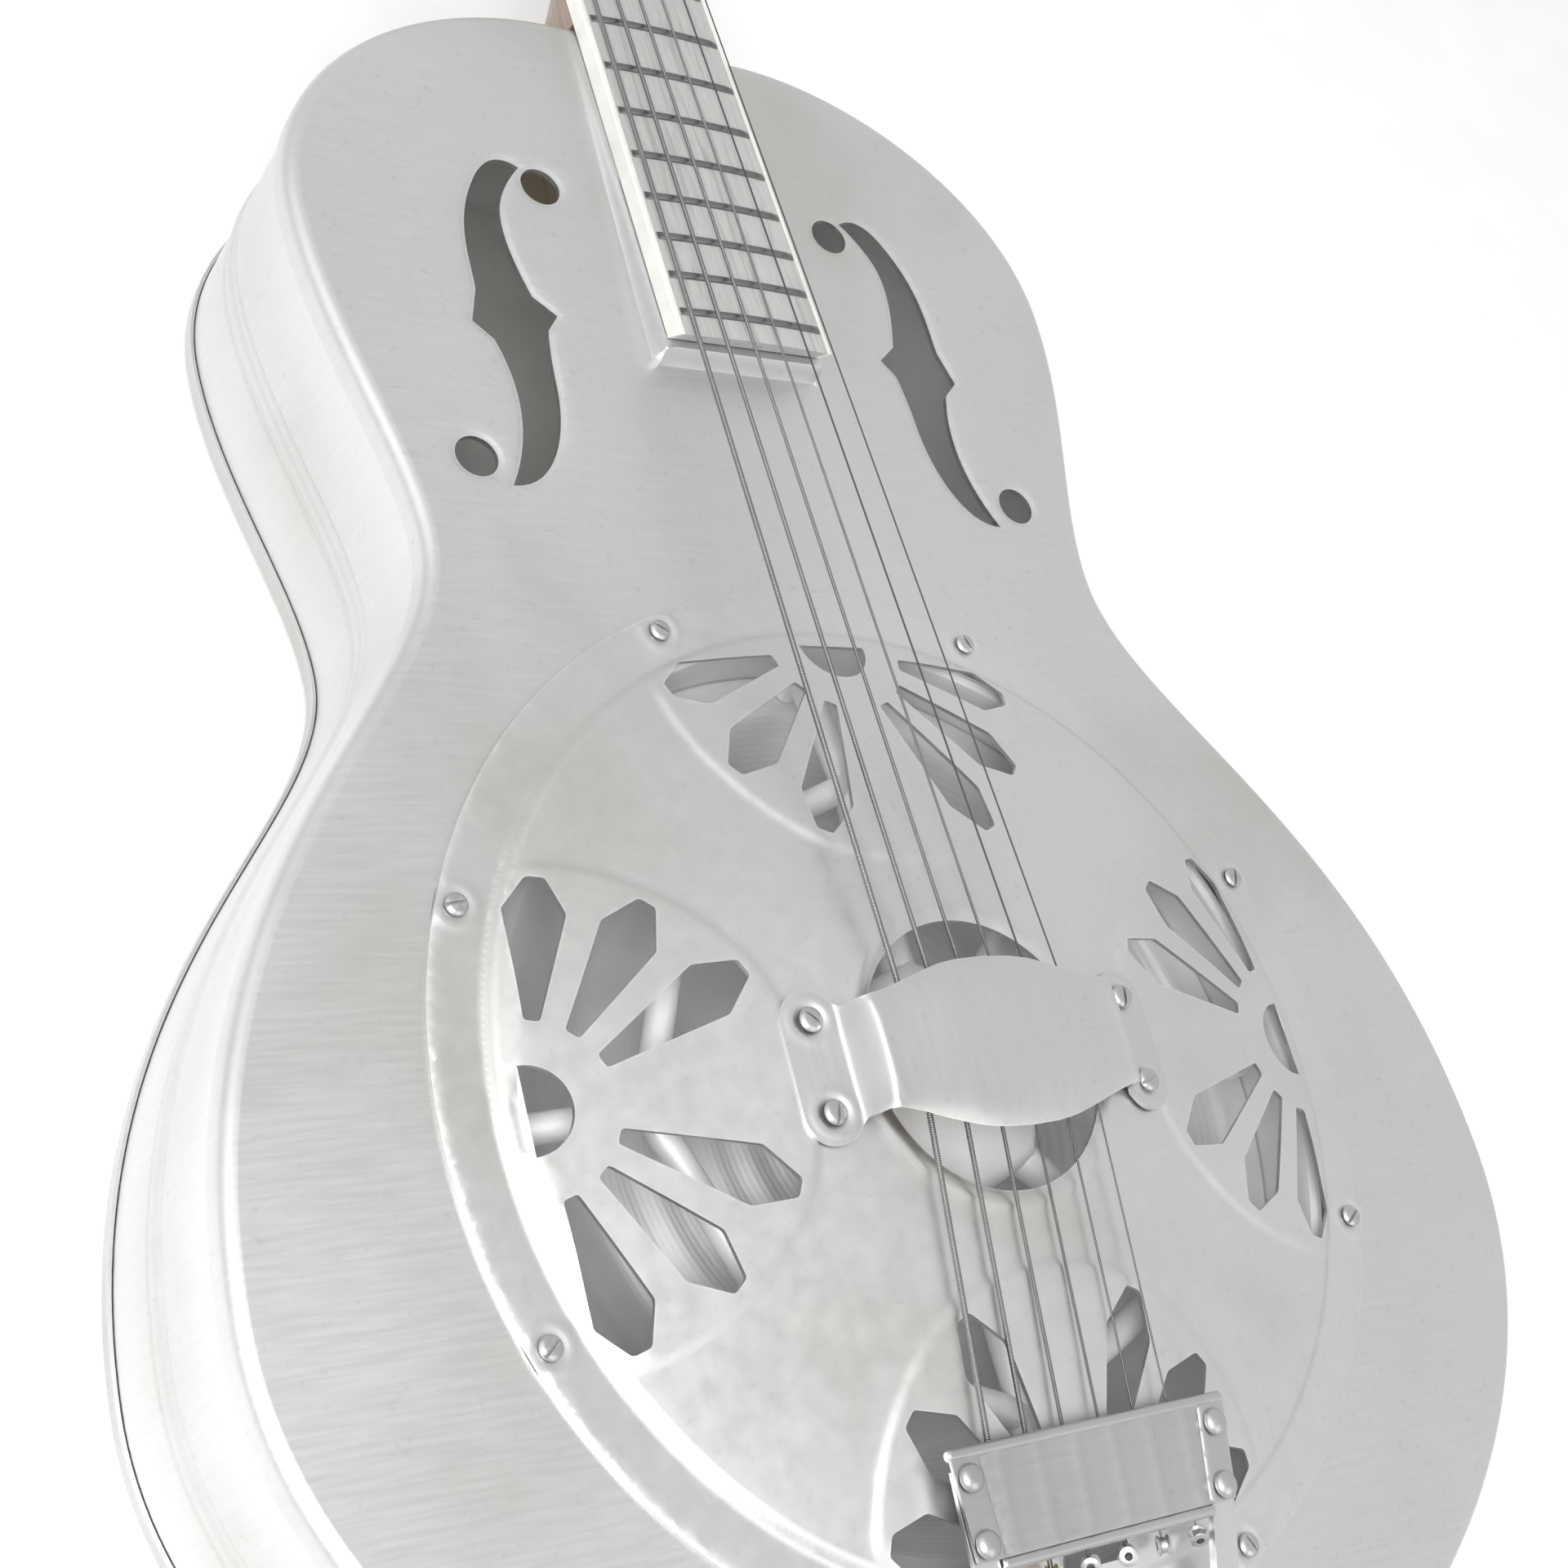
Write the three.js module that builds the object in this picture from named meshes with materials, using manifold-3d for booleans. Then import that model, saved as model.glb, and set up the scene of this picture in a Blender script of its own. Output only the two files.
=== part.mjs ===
// A metal-bodied resonator guitar lying on its back.
// Millimetres. +Y runs along the strings towards the head, +X is the treble side, +Z leaves the top.
// The origin is on the flat back, under the axis of the resonator cone.

import * as THREE from "three";
import { mergeVertices } from "three/addons/utils/BufferGeometryUtils.js";
import Module from "manifold-3d";

const wasm = await Module();
wasm.setup();

// ---------------------------------------------------------------- driving dimensions
const gap = 0.3; // between pieces that touch

// Body shell
const bodyDepth = 82;
const tailReach = 173.4; // cone axis to the tail end
const neckReach = 322.3; // cone axis to the neck joint
const lowerBoutWidth = 370.8;
const lowerBoutY = -34.6;
const waistWidth = 216;
const waistY = 146;
const upperBoutWidth = 249;
const upperBoutY = 242.3;
const shoulderFlat = 62; // straight part of the outline at the neck
const sheet = 1.5; // top, back and sides
const rimWall = 0.9; // skirt of the top and the back, outside the sides
const rimSkirt = 8;
const rimRadius = 4;
const beadHeight = 37; // middle of the bead along the sides
const beadProud = 0.8;

// Sound holes of the top, each placed from the middle of its f-hole, with x growing outwards
const soundHoleInset = 41.4; // waist to the middle
const soundHoleBeyond = 19.85; // from halfway between the waist and the upper bout, towards the neck
const eyeletRadius = 5.9;
const upperEyelet = [-18, 46];
const lowerEyelet = [21.2, -44.2];

// Cover plate
const coverRadius = 135;
const coverSheet = 1.2;
const coverFlange = 12; // flat width outside the step
const coverRise = 17.4; // flange to the edge of the centre hole
const coverStep = 2.2;
const coverStepSlope = 2.5; // width of the step's slope
const coverBulge = 0.8; // rise of the dome's curve over its chord
const coverHoleMargin = 5.8; // centre hole beyond the ends of the saddle
const coverScrewInset = 4.6; // rim to the screw circle
const coverScrewAngle = 22.1; // degrees to each side of the four axes
const moonRadius = 10.2;
const moonInset = 18.6; // cover rim to the straight side of the half moon
const petalStart = 20.4; // from the half moon's centre
const petalHalfNeck = 1.8;
const petalHalfWidth = 7.1;
const petalHalfTip = 2.2;
const petals = [[24.5, 62.5, 52], [49, 58.6, 48.5], [75, 55.5, 47]]; // angle, tip and shoulder of each pair
const pilotRadius = 1.6; // holes for the cover screws
const coverScrew = { head: 2.8, height: 1.4, shank: 1.2, length: 7 };

// Resonator
const wellInset = 15; // cover rim to the inside of the well's wall
const wellDepth = 20; // under the top sheet
const wellLedge = 10; // that the rim of the cone rests on
const wellFlange = 7;
const wellOpening = 2; // hole in the top beyond the inside of the well
const coneSheet = 1;
const coneDrop = 42; // top face to the lowest ring of the cone
const coneRimPlay = 0.6; // rim of the cone to the well's wall
const spiderHubMargin = 3; // hub beyond the ends of the saddle
const spiderRingRadius = 81;
const spiderLegRadius = 3.8;
const spiderLevel = 4.8; // top face down to the middle of the legs
const hubHeight = 14;
const saddleLength = 56;
const saddleThick = 5;
const saddleGroove = 2; // depth in the hub
const spiderScrewRadius = 2;
const spiderScrewPlay = 0.5;
const counterboreRadius = 5;
const footInset = 4.5; // well's wall to the middle of each foot of the spider

// Strings
const scaleLength = 635;
const saddleSetback = 2.6; // the saddle sits this far beyond the scale length
const saddleOverBoard = 17.5; // top of the saddle over the board's surface at the neck joint
const saddleStringMargin = 2.7; // end of the saddle to the outer string
const nutStringMargin = 3.1;
const tailStringMargin = 3.75;
const stringRadii = [0.72, 0.6, 0.48, 0.36, 0.26, 0.22];
const ballRadius = 2;
const ballHalfLength = 1.4;
const stringOverCover = 2.728; // middle of the strings, at the front of the tailpiece plate
const ballBehind = 4.4; // behind the tailpiece plate

// Neck and fretboard
const neckAngle = THREE.MathUtils.degToRad(2.71);
const boardLift = 0.4; // underside of the board over the top of the body, at the neck joint
const boardThick = 6.5;
const boardCrown = 0.8;
const boardJointWidth = 47.3;
const nutWidth = 39.6;
const boardOverhang = 7.8; // beyond the last fret
const boardUndercut = 3;
const fretCount = 19;
const fretWidth = 2.4;
const fretHeight = 1.1;
const fretInset = 1.2;
const nutThick = 5;
const nutHeight = 1.6;
const nutFall = 2.4; // from the front of the nut to its back
const ledgeMargin = 2.6; // ledge of the top beyond the board on each side
const neckDepthNut = 14.5;
const neckDepthHeel = 17;
const heelLength = 46;
const heelFootShare = 2 / 3; // height of the heel's foot over the back, as a share of the stick's
const stickWidth = 20;
const stickHeight = 18;
const stickBelowCone = 4;
const stickTenon = 12;
const stickTailGap = 1.5;
const stickBlockSize = [30, 24];
const stickBlockPlaces = [60, 200];

// Head and tuners
const headAngle = THREE.MathUtils.degToRad(10);
const headTip = 30; // end of the slots to the end of the head
const headThick = 15;
const headHalfWidth = 34;
const slotCentre = 15.5;
const slotWidth = 13;
const slotStart = 22;
const slotMargin = 18; // last roller to the end of the slots
const rollerFirst = 26; // start of the slots to the first roller
const rollerPitch = 36;
const rollerRadius = 3;
const rollerReach = 4.5; // from the centre line
const rollerRunning = 0.45; // hole radius over roller radius
const tunerPlateThick = 1.2;
const lugInset = 1.8; // face of the head to the middle of each lug
const gearRadius = 7;
const gearThick = 3;
const gearTeeth = 15;
const gearToothDepth = 1.3;
const wormRadius = 2.6;
const wormShaftRadius = 1.5;
const wormShaftPlay = 0.4;
const wormBacklash = 0.4;
const buttonHalfWidth = 9;
const buttonLength = 17;
const buttonThick = 6.5;
const windingTurns = 1.4;
const windingSteps = 10; // in each turn

// Palm rest
const restHalfSpan = 48; // to the screws
const restScrewY = 11;
const restLobe = 7.4;
const restSheet = 1.4;
const restOverSaddle = 5.6; // top of the palm rest over the top of the saddle
const restHalfWidth = 21;
const restNarrow = 13;
const restScrew = { head: 3, height: 1.6, shank: 1.2, length: 6 };
const restPilotRadius = 1.7;

// Tailpiece
const tailFront = -87.7;
const tailLength = 22.5;
const tailHalfFront = 41;
const tailHalfRear = 38.6;
const tailHalfRoll = 31.5;
const tailSheet = 1.2;
const tailFrontOver = 3.98; // top of the plate over the line of the strings
const tailRearOver = 3.92;
const tailRoll = 1.4;
const strapWidth = 7;
const strapSheet = 1.2;
const strapTailHalf = 25; // middle of each strap at the tail end
const rivetRadius = 3.2;
const rivetShank = 1.3;
const rivetInset = [[4.4, 5.3], [3, 3.4]]; // front and rear pair, from the plate's corners
const strapRest = 23.4; // tail end to where the straps come down to the body
const pinShaft = 3.9;

// ---------------------------------------------------------------- derived places
const wellRadius = coverRadius - wellInset;
const coverHoleRadius = saddleLength / 2 + coverHoleMargin;
const spiderHubRadius = saddleLength / 2 + spiderHubMargin;
const boardHeight = boardThick + boardLift;
const saddleHeight = boardHeight + saddleOverBoard;
const restTopHeight = saddleHeight + restOverSaddle;
const tailRear = tailFront - tailLength;
const ballY = tailRear - ballBehind;
const rivets = [[tailHalfFront - rivetInset[0][0], tailFront - rivetInset[0][1]],
  [tailHalfRear - rivetInset[1][0], tailRear + rivetInset[1][1]]];
const stringSpans = stringRadii.length - 1;
const saddleSpacing = (saddleLength - 2 * saddleStringMargin) / stringSpans;
const nutSpacing = (nutWidth - 2 * nutStringMargin) / stringSpans;
const tailSpacing = (2 * (tailHalfRoll - tailStringMargin)) / stringSpans;
const soundHoleMiddle = [waistWidth / 2 - soundHoleInset, (waistY + upperBoutY) / 2 + soundHoleBeyond];
const topFace = bodyDepth;
const topUnder = topFace - sheet;
const flangeTop = topFace + gap + coverSheet;
const screwCircle = coverRadius - coverScrewInset;
const stepRadius = coverRadius - coverFlange;
const domeReach = stepRadius - coverStepSlope - coverHoleRadius;
const coverZ = (r) => {
  const s = (r - coverHoleRadius) / domeReach;
  return flangeTop + coverStep + (coverRise - coverStep) * (1 - s) + coverBulge * Math.sin(Math.PI * s);
};
const ballShare = tailFront / ballY; // of the string's fall that is done at the front of the plate
const tailFrontString = coverZ(-tailFront) - topFace + stringOverCover;
const ballHeight = (tailFrontString - saddleHeight * (1 - ballShare)) / ballShare;
const stringRise = (y) => ballHeight + ((saddleHeight - ballHeight) * (y - ballY)) / -ballY;
const tailFrontHeight = stringRise(tailFront) + tailFrontOver;
const tailRearHeight = stringRise(tailRear) + tailRearOver;
const boardZ = topFace + boardHeight; // board surface over the neck joint
const nutY = scaleLength - (neckReach - saddleSetback) / Math.cos(neckAngle);
const coneLow = topFace - coneDrop;
const stickTop = coneLow - stickBelowCone;
const stickLow = stickTop - stickHeight;
const stickMiddle = (stickTop + stickLow) / 2;
const legZ = topFace - spiderLevel;
const hubTop = legZ + hubHeight / 2;
const sideInset = rimWall + gap;
const rollerPlaces = [0, 1, 2].map((i) => slotStart + rollerFirst + i * rollerPitch);
const slotEnd = rollerPlaces.at(-1) + slotMargin;
const headLength = slotEnd + headTip;
const rollerDepth = headThick / 2; // under the face of the head
const plateX = headHalfWidth + gap;
const wormX = plateX + tunerPlateThick + wormRadius + gap;
const gearX = wormX - gearThick / 2;
const wormOffset = gearRadius + wormRadius + wormBacklash;
const lugLevels = [-lugInset, lugInset - headThick];
const stringAt = (share, spacing) => (share - stringSpans / 2) * spacing;
const ballZ = topFace + ballHeight;
const saddleTop = topFace + saddleHeight;
const stringSlope = (saddleTop - ballZ) / -ballY;

// ---------------------------------------------------------------- materials
const finish = (color, roughness, metalness) =>
  new THREE.MeshStandardMaterial({ color, roughness, metalness });
const nickel = () => finish(0xc9c9c7, 0.32, 1);
const chrome = () => finish(0xd6d6d6, 0.2, 1);
const spun = () => finish(0xbfc1c2, 0.42, 1);
const steel = () => finish(0xb9bbbd, 0.35, 1);
const brass = () => finish(0xb99a5b, 0.35, 1);
const mahogany = () => finish(0x8d7f72, 0.45, 0);
const ebony = () => finish(0x8f8d88, 0.5, 0);
const maple = () => finish(0xcdbb98, 0.55, 0);
const bone = () => finish(0xe6e0d0, 0.4, 0);

// ---------------------------------------------------------------- helpers
const v2 = (x, y) => new THREE.Vector2(x, y);
const v3 = (x, y, z) => new THREE.Vector3(x, y, z);
const onXY = (p) => [p.x, p.y];
const onYZ = (p) => [p.y, p.z];
const onZX = (p) => [p.z, p.x];

// A closed geometry becomes a solid for cutting and joining.
function solid(geometry) {
  let g = geometry.clone();
  g.deleteAttribute("normal");
  g.deleteAttribute("uv");
  g = mergeVertices(g, 1e-4);
  const mesh = new wasm.Mesh({
    numProp: 3,
    vertProperties: new Float32Array(g.attributes.position.array),
    triVerts: new Uint32Array(g.index.array),
  });
  return new wasm.Manifold(mesh);
}

function geometryOf(body) {
  const mesh = body.getMesh();
  const g = new THREE.BufferGeometry();
  g.setAttribute("position", new THREE.BufferAttribute(mesh.vertProperties, 3));
  g.setIndex(new THREE.BufferAttribute(mesh.triVerts, 1));
  return g;
}

const joined = (bodies) => bodies.reduce((sum, body) => sum.add(body));
const cut = (body, tools) => tools.reduce((rest, tool) => rest.subtract(tool), body);

function addPiece(parent, name, shape, material, position = [0, 0, 0]) {
  const geometry = shape.isBufferGeometry ? shape : geometryOf(shape);
  geometry.computeVertexNormals();
  const mesh = new THREE.Mesh(geometry, material);
  mesh.name = name;
  mesh.position.set(...position);
  parent.add(mesh);
  return mesh;
}

function signedVolume(points, index) {
  let sum = 0;
  for (let i = 0; i < index.length; i += 3) {
    const [a, b, c] = [points[index[i]], points[index[i + 1]], points[index[i + 2]]];
    sum += a.dot(b.clone().cross(c));
  }
  return sum / 6;
}

// A skin over rings of equal count, closed by a cap at each end; flat(p) lays a ring out for its cap.
function loft(rings, flat) {
  const flatRing = (ring) => ring.map((p) => v2(...flat(p)));
  const turned = THREE.ShapeUtils.area(flatRing(rings[0])) < 0;
  const loops = turned ? rings.map((ring) => [...ring].reverse()) : rings;
  const count = loops[0].length;
  const points = loops.flat();
  const index = [];
  for (let i = 0; i + 1 < loops.length; i += 1) {
    for (let j = 0; j < count; j += 1) {
      const next = (j + 1) % count;
      const [a, b] = [i * count + j, i * count + next];
      index.push(a, b, b + count, a, b + count, a + count);
    }
  }
  const end = (loops.length - 1) * count;
  THREE.ShapeUtils.triangulateShape(flatRing(loops[0]), []).forEach((f) => index.push(f[2], f[1], f[0]));
  THREE.ShapeUtils.triangulateShape(flatRing(loops.at(-1)), [])
    .forEach((f) => index.push(end + f[0], end + f[1], end + f[2]));
  if (signedVolume(points, index) < 0) index.reverse();
  const g = new THREE.BufferGeometry().setFromPoints(points);
  g.setIndex(index);
  return g;
}

// A closed profile of [radius, height] pairs, or one that starts and ends on the axis, turned about Z.
function turnedZ(profile, segments) {
  const g = new THREE.LatheGeometry(profile.map(([r, z]) => v2(r, z)), segments);
  g.rotateX(Math.PI / 2);
  return g;
}

const closed = (profile) => [...profile, profile[0]];

function rod(radius, from, to, sides = 16) {
  const g = new THREE.CylinderGeometry(radius, radius, from.distanceTo(to), sides);
  g.translate(0, from.distanceTo(to) / 2, 0);
  const turn = new THREE.Quaternion().setFromUnitVectors(v3(0, 1, 0), to.clone().sub(from).normalize());
  g.applyQuaternion(turn);
  g.translate(from.x, from.y, from.z);
  return solid(g);
}

function box(low, high) {
  const size = high.map((h, i) => h - low[i]);
  const g = new THREE.BoxGeometry(...size);
  g.translate(...low.map((l, i) => l + size[i] / 2));
  return solid(g);
}

const prismZ = (shape, low, high, segments = 8) => {
  const options = { depth: high - low, bevelEnabled: false, curveSegments: segments };
  return solid(new THREE.ExtrudeGeometry(shape, options).translate(0, 0, low));
};

// A route through chosen points, with one step of the extrusion at each of them.
class Route extends THREE.Curve {
  constructor(points) {
    super();
    this.points = points;
  }

  getPoint(t, target = v3(0, 0, 0)) {
    const s = Math.min(Math.max(t, 0), 1) * (this.points.length - 1);
    const i = Math.min(Math.floor(s), this.points.length - 2);
    return target.lerpVectors(this.points[i], this.points[i + 1], s - i);
  }

  getUtoTmapping(u) {
    return u;
  }
}

function wire(points, radius, halfSides) {
  const section = new THREE.Shape().absarc(0, 0, radius, 0, 2 * Math.PI);
  return solid(new THREE.ExtrudeGeometry(section, {
    steps: points.length - 1, extrudePath: new Route(points), curveSegments: halfSides, bevelEnabled: false,
  }));
}

// ---------------------------------------------------------------- body shell
// The outline runs counter-clockwise: four curves up the treble side, then the same ones mirrored.
function bodyOutline() {
  const widths = [lowerBoutWidth, waistWidth, upperBoutWidth, shoulderFlat];
  const [lower, waist, upper, flat] = widths.map((width) => width / 2);
  const tailSpan = lowerBoutY + tailReach;
  const lowerSpan = waistY - lowerBoutY;
  const upperSpan = upperBoutY - waistY;
  const neckSpan = neckReach - upperBoutY;
  const side = new THREE.Path();
  side.moveTo(0, -tailReach);
  side.bezierCurveTo(0.507 * lower, -tailReach, lower, lowerBoutY - 0.538 * tailSpan, lower, lowerBoutY);
  const [lowerPull, waistPull] = [0.567 * lowerSpan, 0.237 * lowerSpan];
  side.bezierCurveTo(lower, lowerBoutY + lowerPull, waist, waistY - waistPull, waist, waistY);
  side.bezierCurveTo(waist, waistY + 0.279 * upperSpan,
    upper, upperBoutY - 0.386 * upperSpan, upper, upperBoutY);
  side.bezierCurveTo(upper, upperBoutY + 0.568 * neckSpan,
    flat + 0.491 * (upper - flat), neckReach, flat, neckReach);
  const treble = side.getPoints(8);
  const bass = treble.slice(1).map((p) => v2(-p.x, p.y)).reverse();
  return [...treble, ...bass];
}

const outline = bodyOutline();

function inset(loop, distance) {
  return loop.map((p, i) => {
    const before = loop[(i + loop.length - 1) % loop.length];
    const after = loop[(i + 1) % loop.length];
    const along = after.clone().sub(before).normalize();
    return v2(p.x - along.y * distance, p.y + along.x * distance);
  });
}

const level = (distance, z) => inset(outline, distance).map((p) => v3(p.x, p.y, z));
const stack = (levels) => solid(loft(levels.map(([distance, z]) => level(distance, z)), onXY));

// A plate with a rounded rim and a skirt; inward is the direction from its face into the body.
function rimmedPlate(face, inward) {
  const bend = 1 - Math.SQRT1_2;
  const at = (depth) => face + inward * depth;
  const outside = stack([[0, at(rimSkirt)], [0, at(rimRadius)], [rimRadius * bend, at(rimRadius * bend)],
    [rimRadius, face]]);
  const inside = stack([[rimWall, at(rimSkirt + 1)], [rimWall, at(rimRadius)],
    [rimRadius, at(sheet)]]);
  return outside.subtract(inside);
}

// The slot of one f-hole about its middle, with x growing outwards from the centre line.
function soundSlot() {
  const s = new THREE.Shape();
  s.moveTo(-12.6, 51.5);
  s.quadraticCurveTo(-3.6, 57, 3.4, 43.5);
  s.bezierCurveTo(11.4, 29, 9.4, 17, 10, 8);
  s.lineTo(13.2, -2.4);
  s.lineTo(8, -7.5);
  s.bezierCurveTo(4.4, -18, 2.4, -34, 12.7, -52);
  s.bezierCurveTo(-0.6, -52, -6.6, -34, -7.2, -21);
  s.bezierCurveTo(-7.6, -11, -8.2, -7, -9, -2.6);
  s.lineTo(-12.9, 2.6);
  s.lineTo(-6.6, 8);
  s.bezierCurveTo(-2.6, 21, -1.6, 31, -4, 38);
  s.quadraticCurveTo(-6.6, 45, -12.6, 51.5);
  return s;
}

function soundHoles() {
  const reach = [topFace - rimSkirt, topFace + 1];
  const eyelet = ([x, y]) => new THREE.Shape().absarc(x, y, eyeletRadius, 0, 2 * Math.PI);
  const trebleHoles = joined([prismZ(soundSlot(), ...reach, 4), prismZ(eyelet(upperEyelet), ...reach, 8),
    prismZ(eyelet(lowerEyelet), ...reach, 8)]).translate([...soundHoleMiddle, 0]);
  return [trebleHoles, trebleHoles.mirror([1, 0, 0])];
}

const boardSurface = (y) => boardZ + (neckReach - y) * Math.tan(neckAngle);
const boardHalf = (y) => boardJointWidth / 2 - ((boardJointWidth - nutWidth) / 2) * (y / nutY);
const boardEnd = scaleLength * 2 ** (-fretCount / 12) + nutY - scaleLength - boardOverhang;

// The wedge that carries the end of the fretboard over the top.
function ledge() {
  const front = neckReach + boardEnd - 2;
  const back = neckReach - rimRadius;
  const half = boardHalf(boardEnd) + ledgeMargin;
  const under = (y) => boardSurface(y) - boardThick / Math.cos(neckAngle) - gap;
  const ring = (x) => [v3(x, front - 2.5, topFace - sheet / 2), v3(x, front, under(front)),
    v3(x, back, under(back)), v3(x, back, topFace - sheet / 2)];
  return solid(loft([ring(-half), ring(half)], onYZ));
}

const ringPlaces = [0, 90, 180, 270].flatMap((axis) => [axis - coverScrewAngle, axis + coverScrewAngle])
  .map((angle) => v2(screwCircle, 0).rotateAround(v2(0, 0), THREE.MathUtils.degToRad(angle)));
const restScrews = [[-1, -1], [-1, 1], [1, -1], [1, 1]].map(([i, j]) => [i * restHalfSpan, j * restScrewY]);
const screwHole = (p, radius, low, high) => rod(radius, v3(p.x, p.y, low), v3(p.x, p.y, high), 8);

function bodyTop() {
  const reach = [topFace - rimSkirt, topFace + 1];
  const opening = rod(wellRadius + wellOpening, v3(0, 0, reach[0]), v3(0, 0, reach[1]), 56);
  const pilots = ringPlaces.map((p) => screwHole(p, pilotRadius, ...reach));
  return cut(rimmedPlate(topFace, -1).add(ledge()), [opening, ...soundHoles(), ...pilots]);
}

// The way through the neck end of the shell for the stick.
function stickHole() {
  const half = stickWidth / 2 + gap;
  return box([-half, neckReach - 20, stickLow - gap], [half, neckReach + 5, stickTop + gap]);
}

function bodySides() {
  const low = rimRadius + gap;
  const high = topFace - rimRadius - gap;
  const outside = stack([[sideInset, low], [sideInset, beadHeight - 2.2],
    [sideInset - beadProud, beadHeight - 1.2], [sideInset - beadProud, beadHeight + 1.2],
    [sideInset, beadHeight + 2.2], [sideInset, high]]);
  const inside = stack([[sideInset + sheet, low - 1], [sideInset + sheet, high + 1]]);
  const pinStart = v3(0, -tailReach - 5, stickMiddle);
  const pinHole = rod(pinShaft + gap, pinStart, v3(0, 15 - tailReach, stickMiddle));
  return cut(outside, [inside, stickHole(), pinHole]);
}

// ---------------------------------------------------------------- resonator
function coneWell() {
  const top = topUnder - gap;
  const low = topUnder - wellDepth;
  const flange = wellRadius + wellFlange;
  const ledgeEdge = wellRadius - wellLedge;
  return turnedZ(closed([[ledgeEdge, low], [wellRadius + sheet, low], [wellRadius + sheet, top - sheet],
    [flange, top - sheet], [flange, top], [wellRadius, top], [wellRadius, low + sheet],
    [ledgeEdge, low + sheet]]), 40);
}

const coneRimZ = topUnder - wellDepth + sheet + gap;

// The cone hangs from its flat rim, dips to a ring and rises to a flat centre.
function resonatorCone() {
  const rim = wellRadius - coneRimPlay;
  const apex = legZ - hubHeight / 2 - gap - coneSheet;
  const upper = [[rim, coneRimZ + coneSheet], [wellRadius - wellLedge - 1, coneRimZ + coneSheet],
    [wellRadius - wellLedge - 5, coneRimZ - 4], [wellRadius - 30, coneLow + 3],
    [wellRadius - 40, coneLow + coneSheet],
    [spiderHubRadius + 3, apex - 5], [spiderHubRadius - 11, apex + coneSheet]];
  const bore = spiderScrewRadius + spiderScrewPlay;
  const lower = upper.map(([r, z]) => [r, z - coneSheet]).reverse();
  return turnedZ(closed([...upper, [bore, apex + coneSheet], [bore, apex], ...lower]), 36);
}

function spiderBridge() {
  const low = legZ - hubHeight / 2;
  const hub = turnedZ([[0, low], [spiderHubRadius - 1, low], [spiderHubRadius, low + 2],
    [spiderHubRadius, hubTop - 4], [spiderHubRadius - 3, hubTop], [0, hubTop]], 8);
  const ring = new THREE.TorusGeometry(spiderRingRadius, spiderLegRadius, 6, 8).translate(0, 0, legZ);
  const footRadius = wellRadius - footInset;
  const footTop = coneRimZ + 8;
  const turns = [...Array(8).keys()].map((i) => i * 45);
  const leg = joined([
    wire([v3(spiderHubRadius - 10, 0, legZ), v3(spiderRingRadius, 0, legZ), v3(footRadius, 0, footTop)],
      spiderLegRadius, 3),
    rod(spiderLegRadius - 0.4, v3(footRadius, 0, coneRimZ + coneSheet + gap), v3(footRadius, 0, footTop), 6),
  ]);
  const groove = box([-saddleLength / 2 - gap, -saddleThick / 2 - gap, hubTop - saddleGroove],
    [saddleLength / 2 + gap, saddleThick / 2 + gap, hubTop + 1]);
  const bore = rod(spiderScrewRadius + spiderScrewPlay, v3(0, 0, low - 1), v3(0, 0, hubTop));
  const counterbore = rod(counterboreRadius, v3(0, 0, hubTop - 6 - gap), v3(0, 0, hubTop));
  return cut(joined([solid(hub), solid(ring), ...turns.map((a) => leg.rotate([0, 0, a]))]),
    [groove, bore, counterbore]);
}

function spiderScrew() {
  const headTop = hubTop - saddleGroove - gap;
  const headLow = hubTop - 6;
  const headRadius = counterboreRadius - 0.6;
  return turnedZ([[0, coneLow + 10], [spiderScrewRadius, coneLow + 11], [spiderScrewRadius, headLow],
    [headRadius, headLow], [headRadius, headTop - 1.4], [headRadius - 1.4, headTop], [0, headTop]], 12);
}

function saddle() {
  const low = hubTop - saddleGroove + gap;
  const bar = (half, z) => [[-1, -1], [1, -1], [1, 1], [-1, 1]].map(([i, j]) =>
    v3((i * saddleLength) / 2, j * half, z));
  const thin = saddleThick / 2 - 1.6;
  return loft([bar(saddleThick / 2, low), bar(saddleThick / 2, saddleTop - 5), bar(thin, saddleTop)], onXY);
}

// ---------------------------------------------------------------- cover plate and its screws

function petal(angle, reach, shoulder) {
  const corners = [[petalStart, -petalHalfNeck], [shoulder, -petalHalfWidth], [reach, -petalHalfTip],
    [reach, petalHalfTip], [shoulder, petalHalfWidth], [petalStart, petalHalfNeck]];
  const turn = THREE.MathUtils.degToRad(angle);
  const centre = coverRadius - moonInset;
  return new THREE.Shape(corners.map(([u, v]) => {
    const p = v2(-u, v).rotateAround(v2(0, 0), turn);
    return p.add(v2(centre, 0));
  }));
}

// Six petals and a half moon, on the +X axis.
function fan() {
  const reach = [flangeTop - 10, flangeTop + coverRise + 5];
  const moon = new THREE.Shape().absarc(coverRadius - moonInset, 0, moonRadius, Math.PI / 2, 1.5 * Math.PI);
  return joined([prismZ(moon, ...reach, 5), ...petals.flatMap(([angle, tip, shoulder]) =>
    [angle, -angle].map((a) => prismZ(petal(a, tip, shoulder), ...reach)))]);
}

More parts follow.
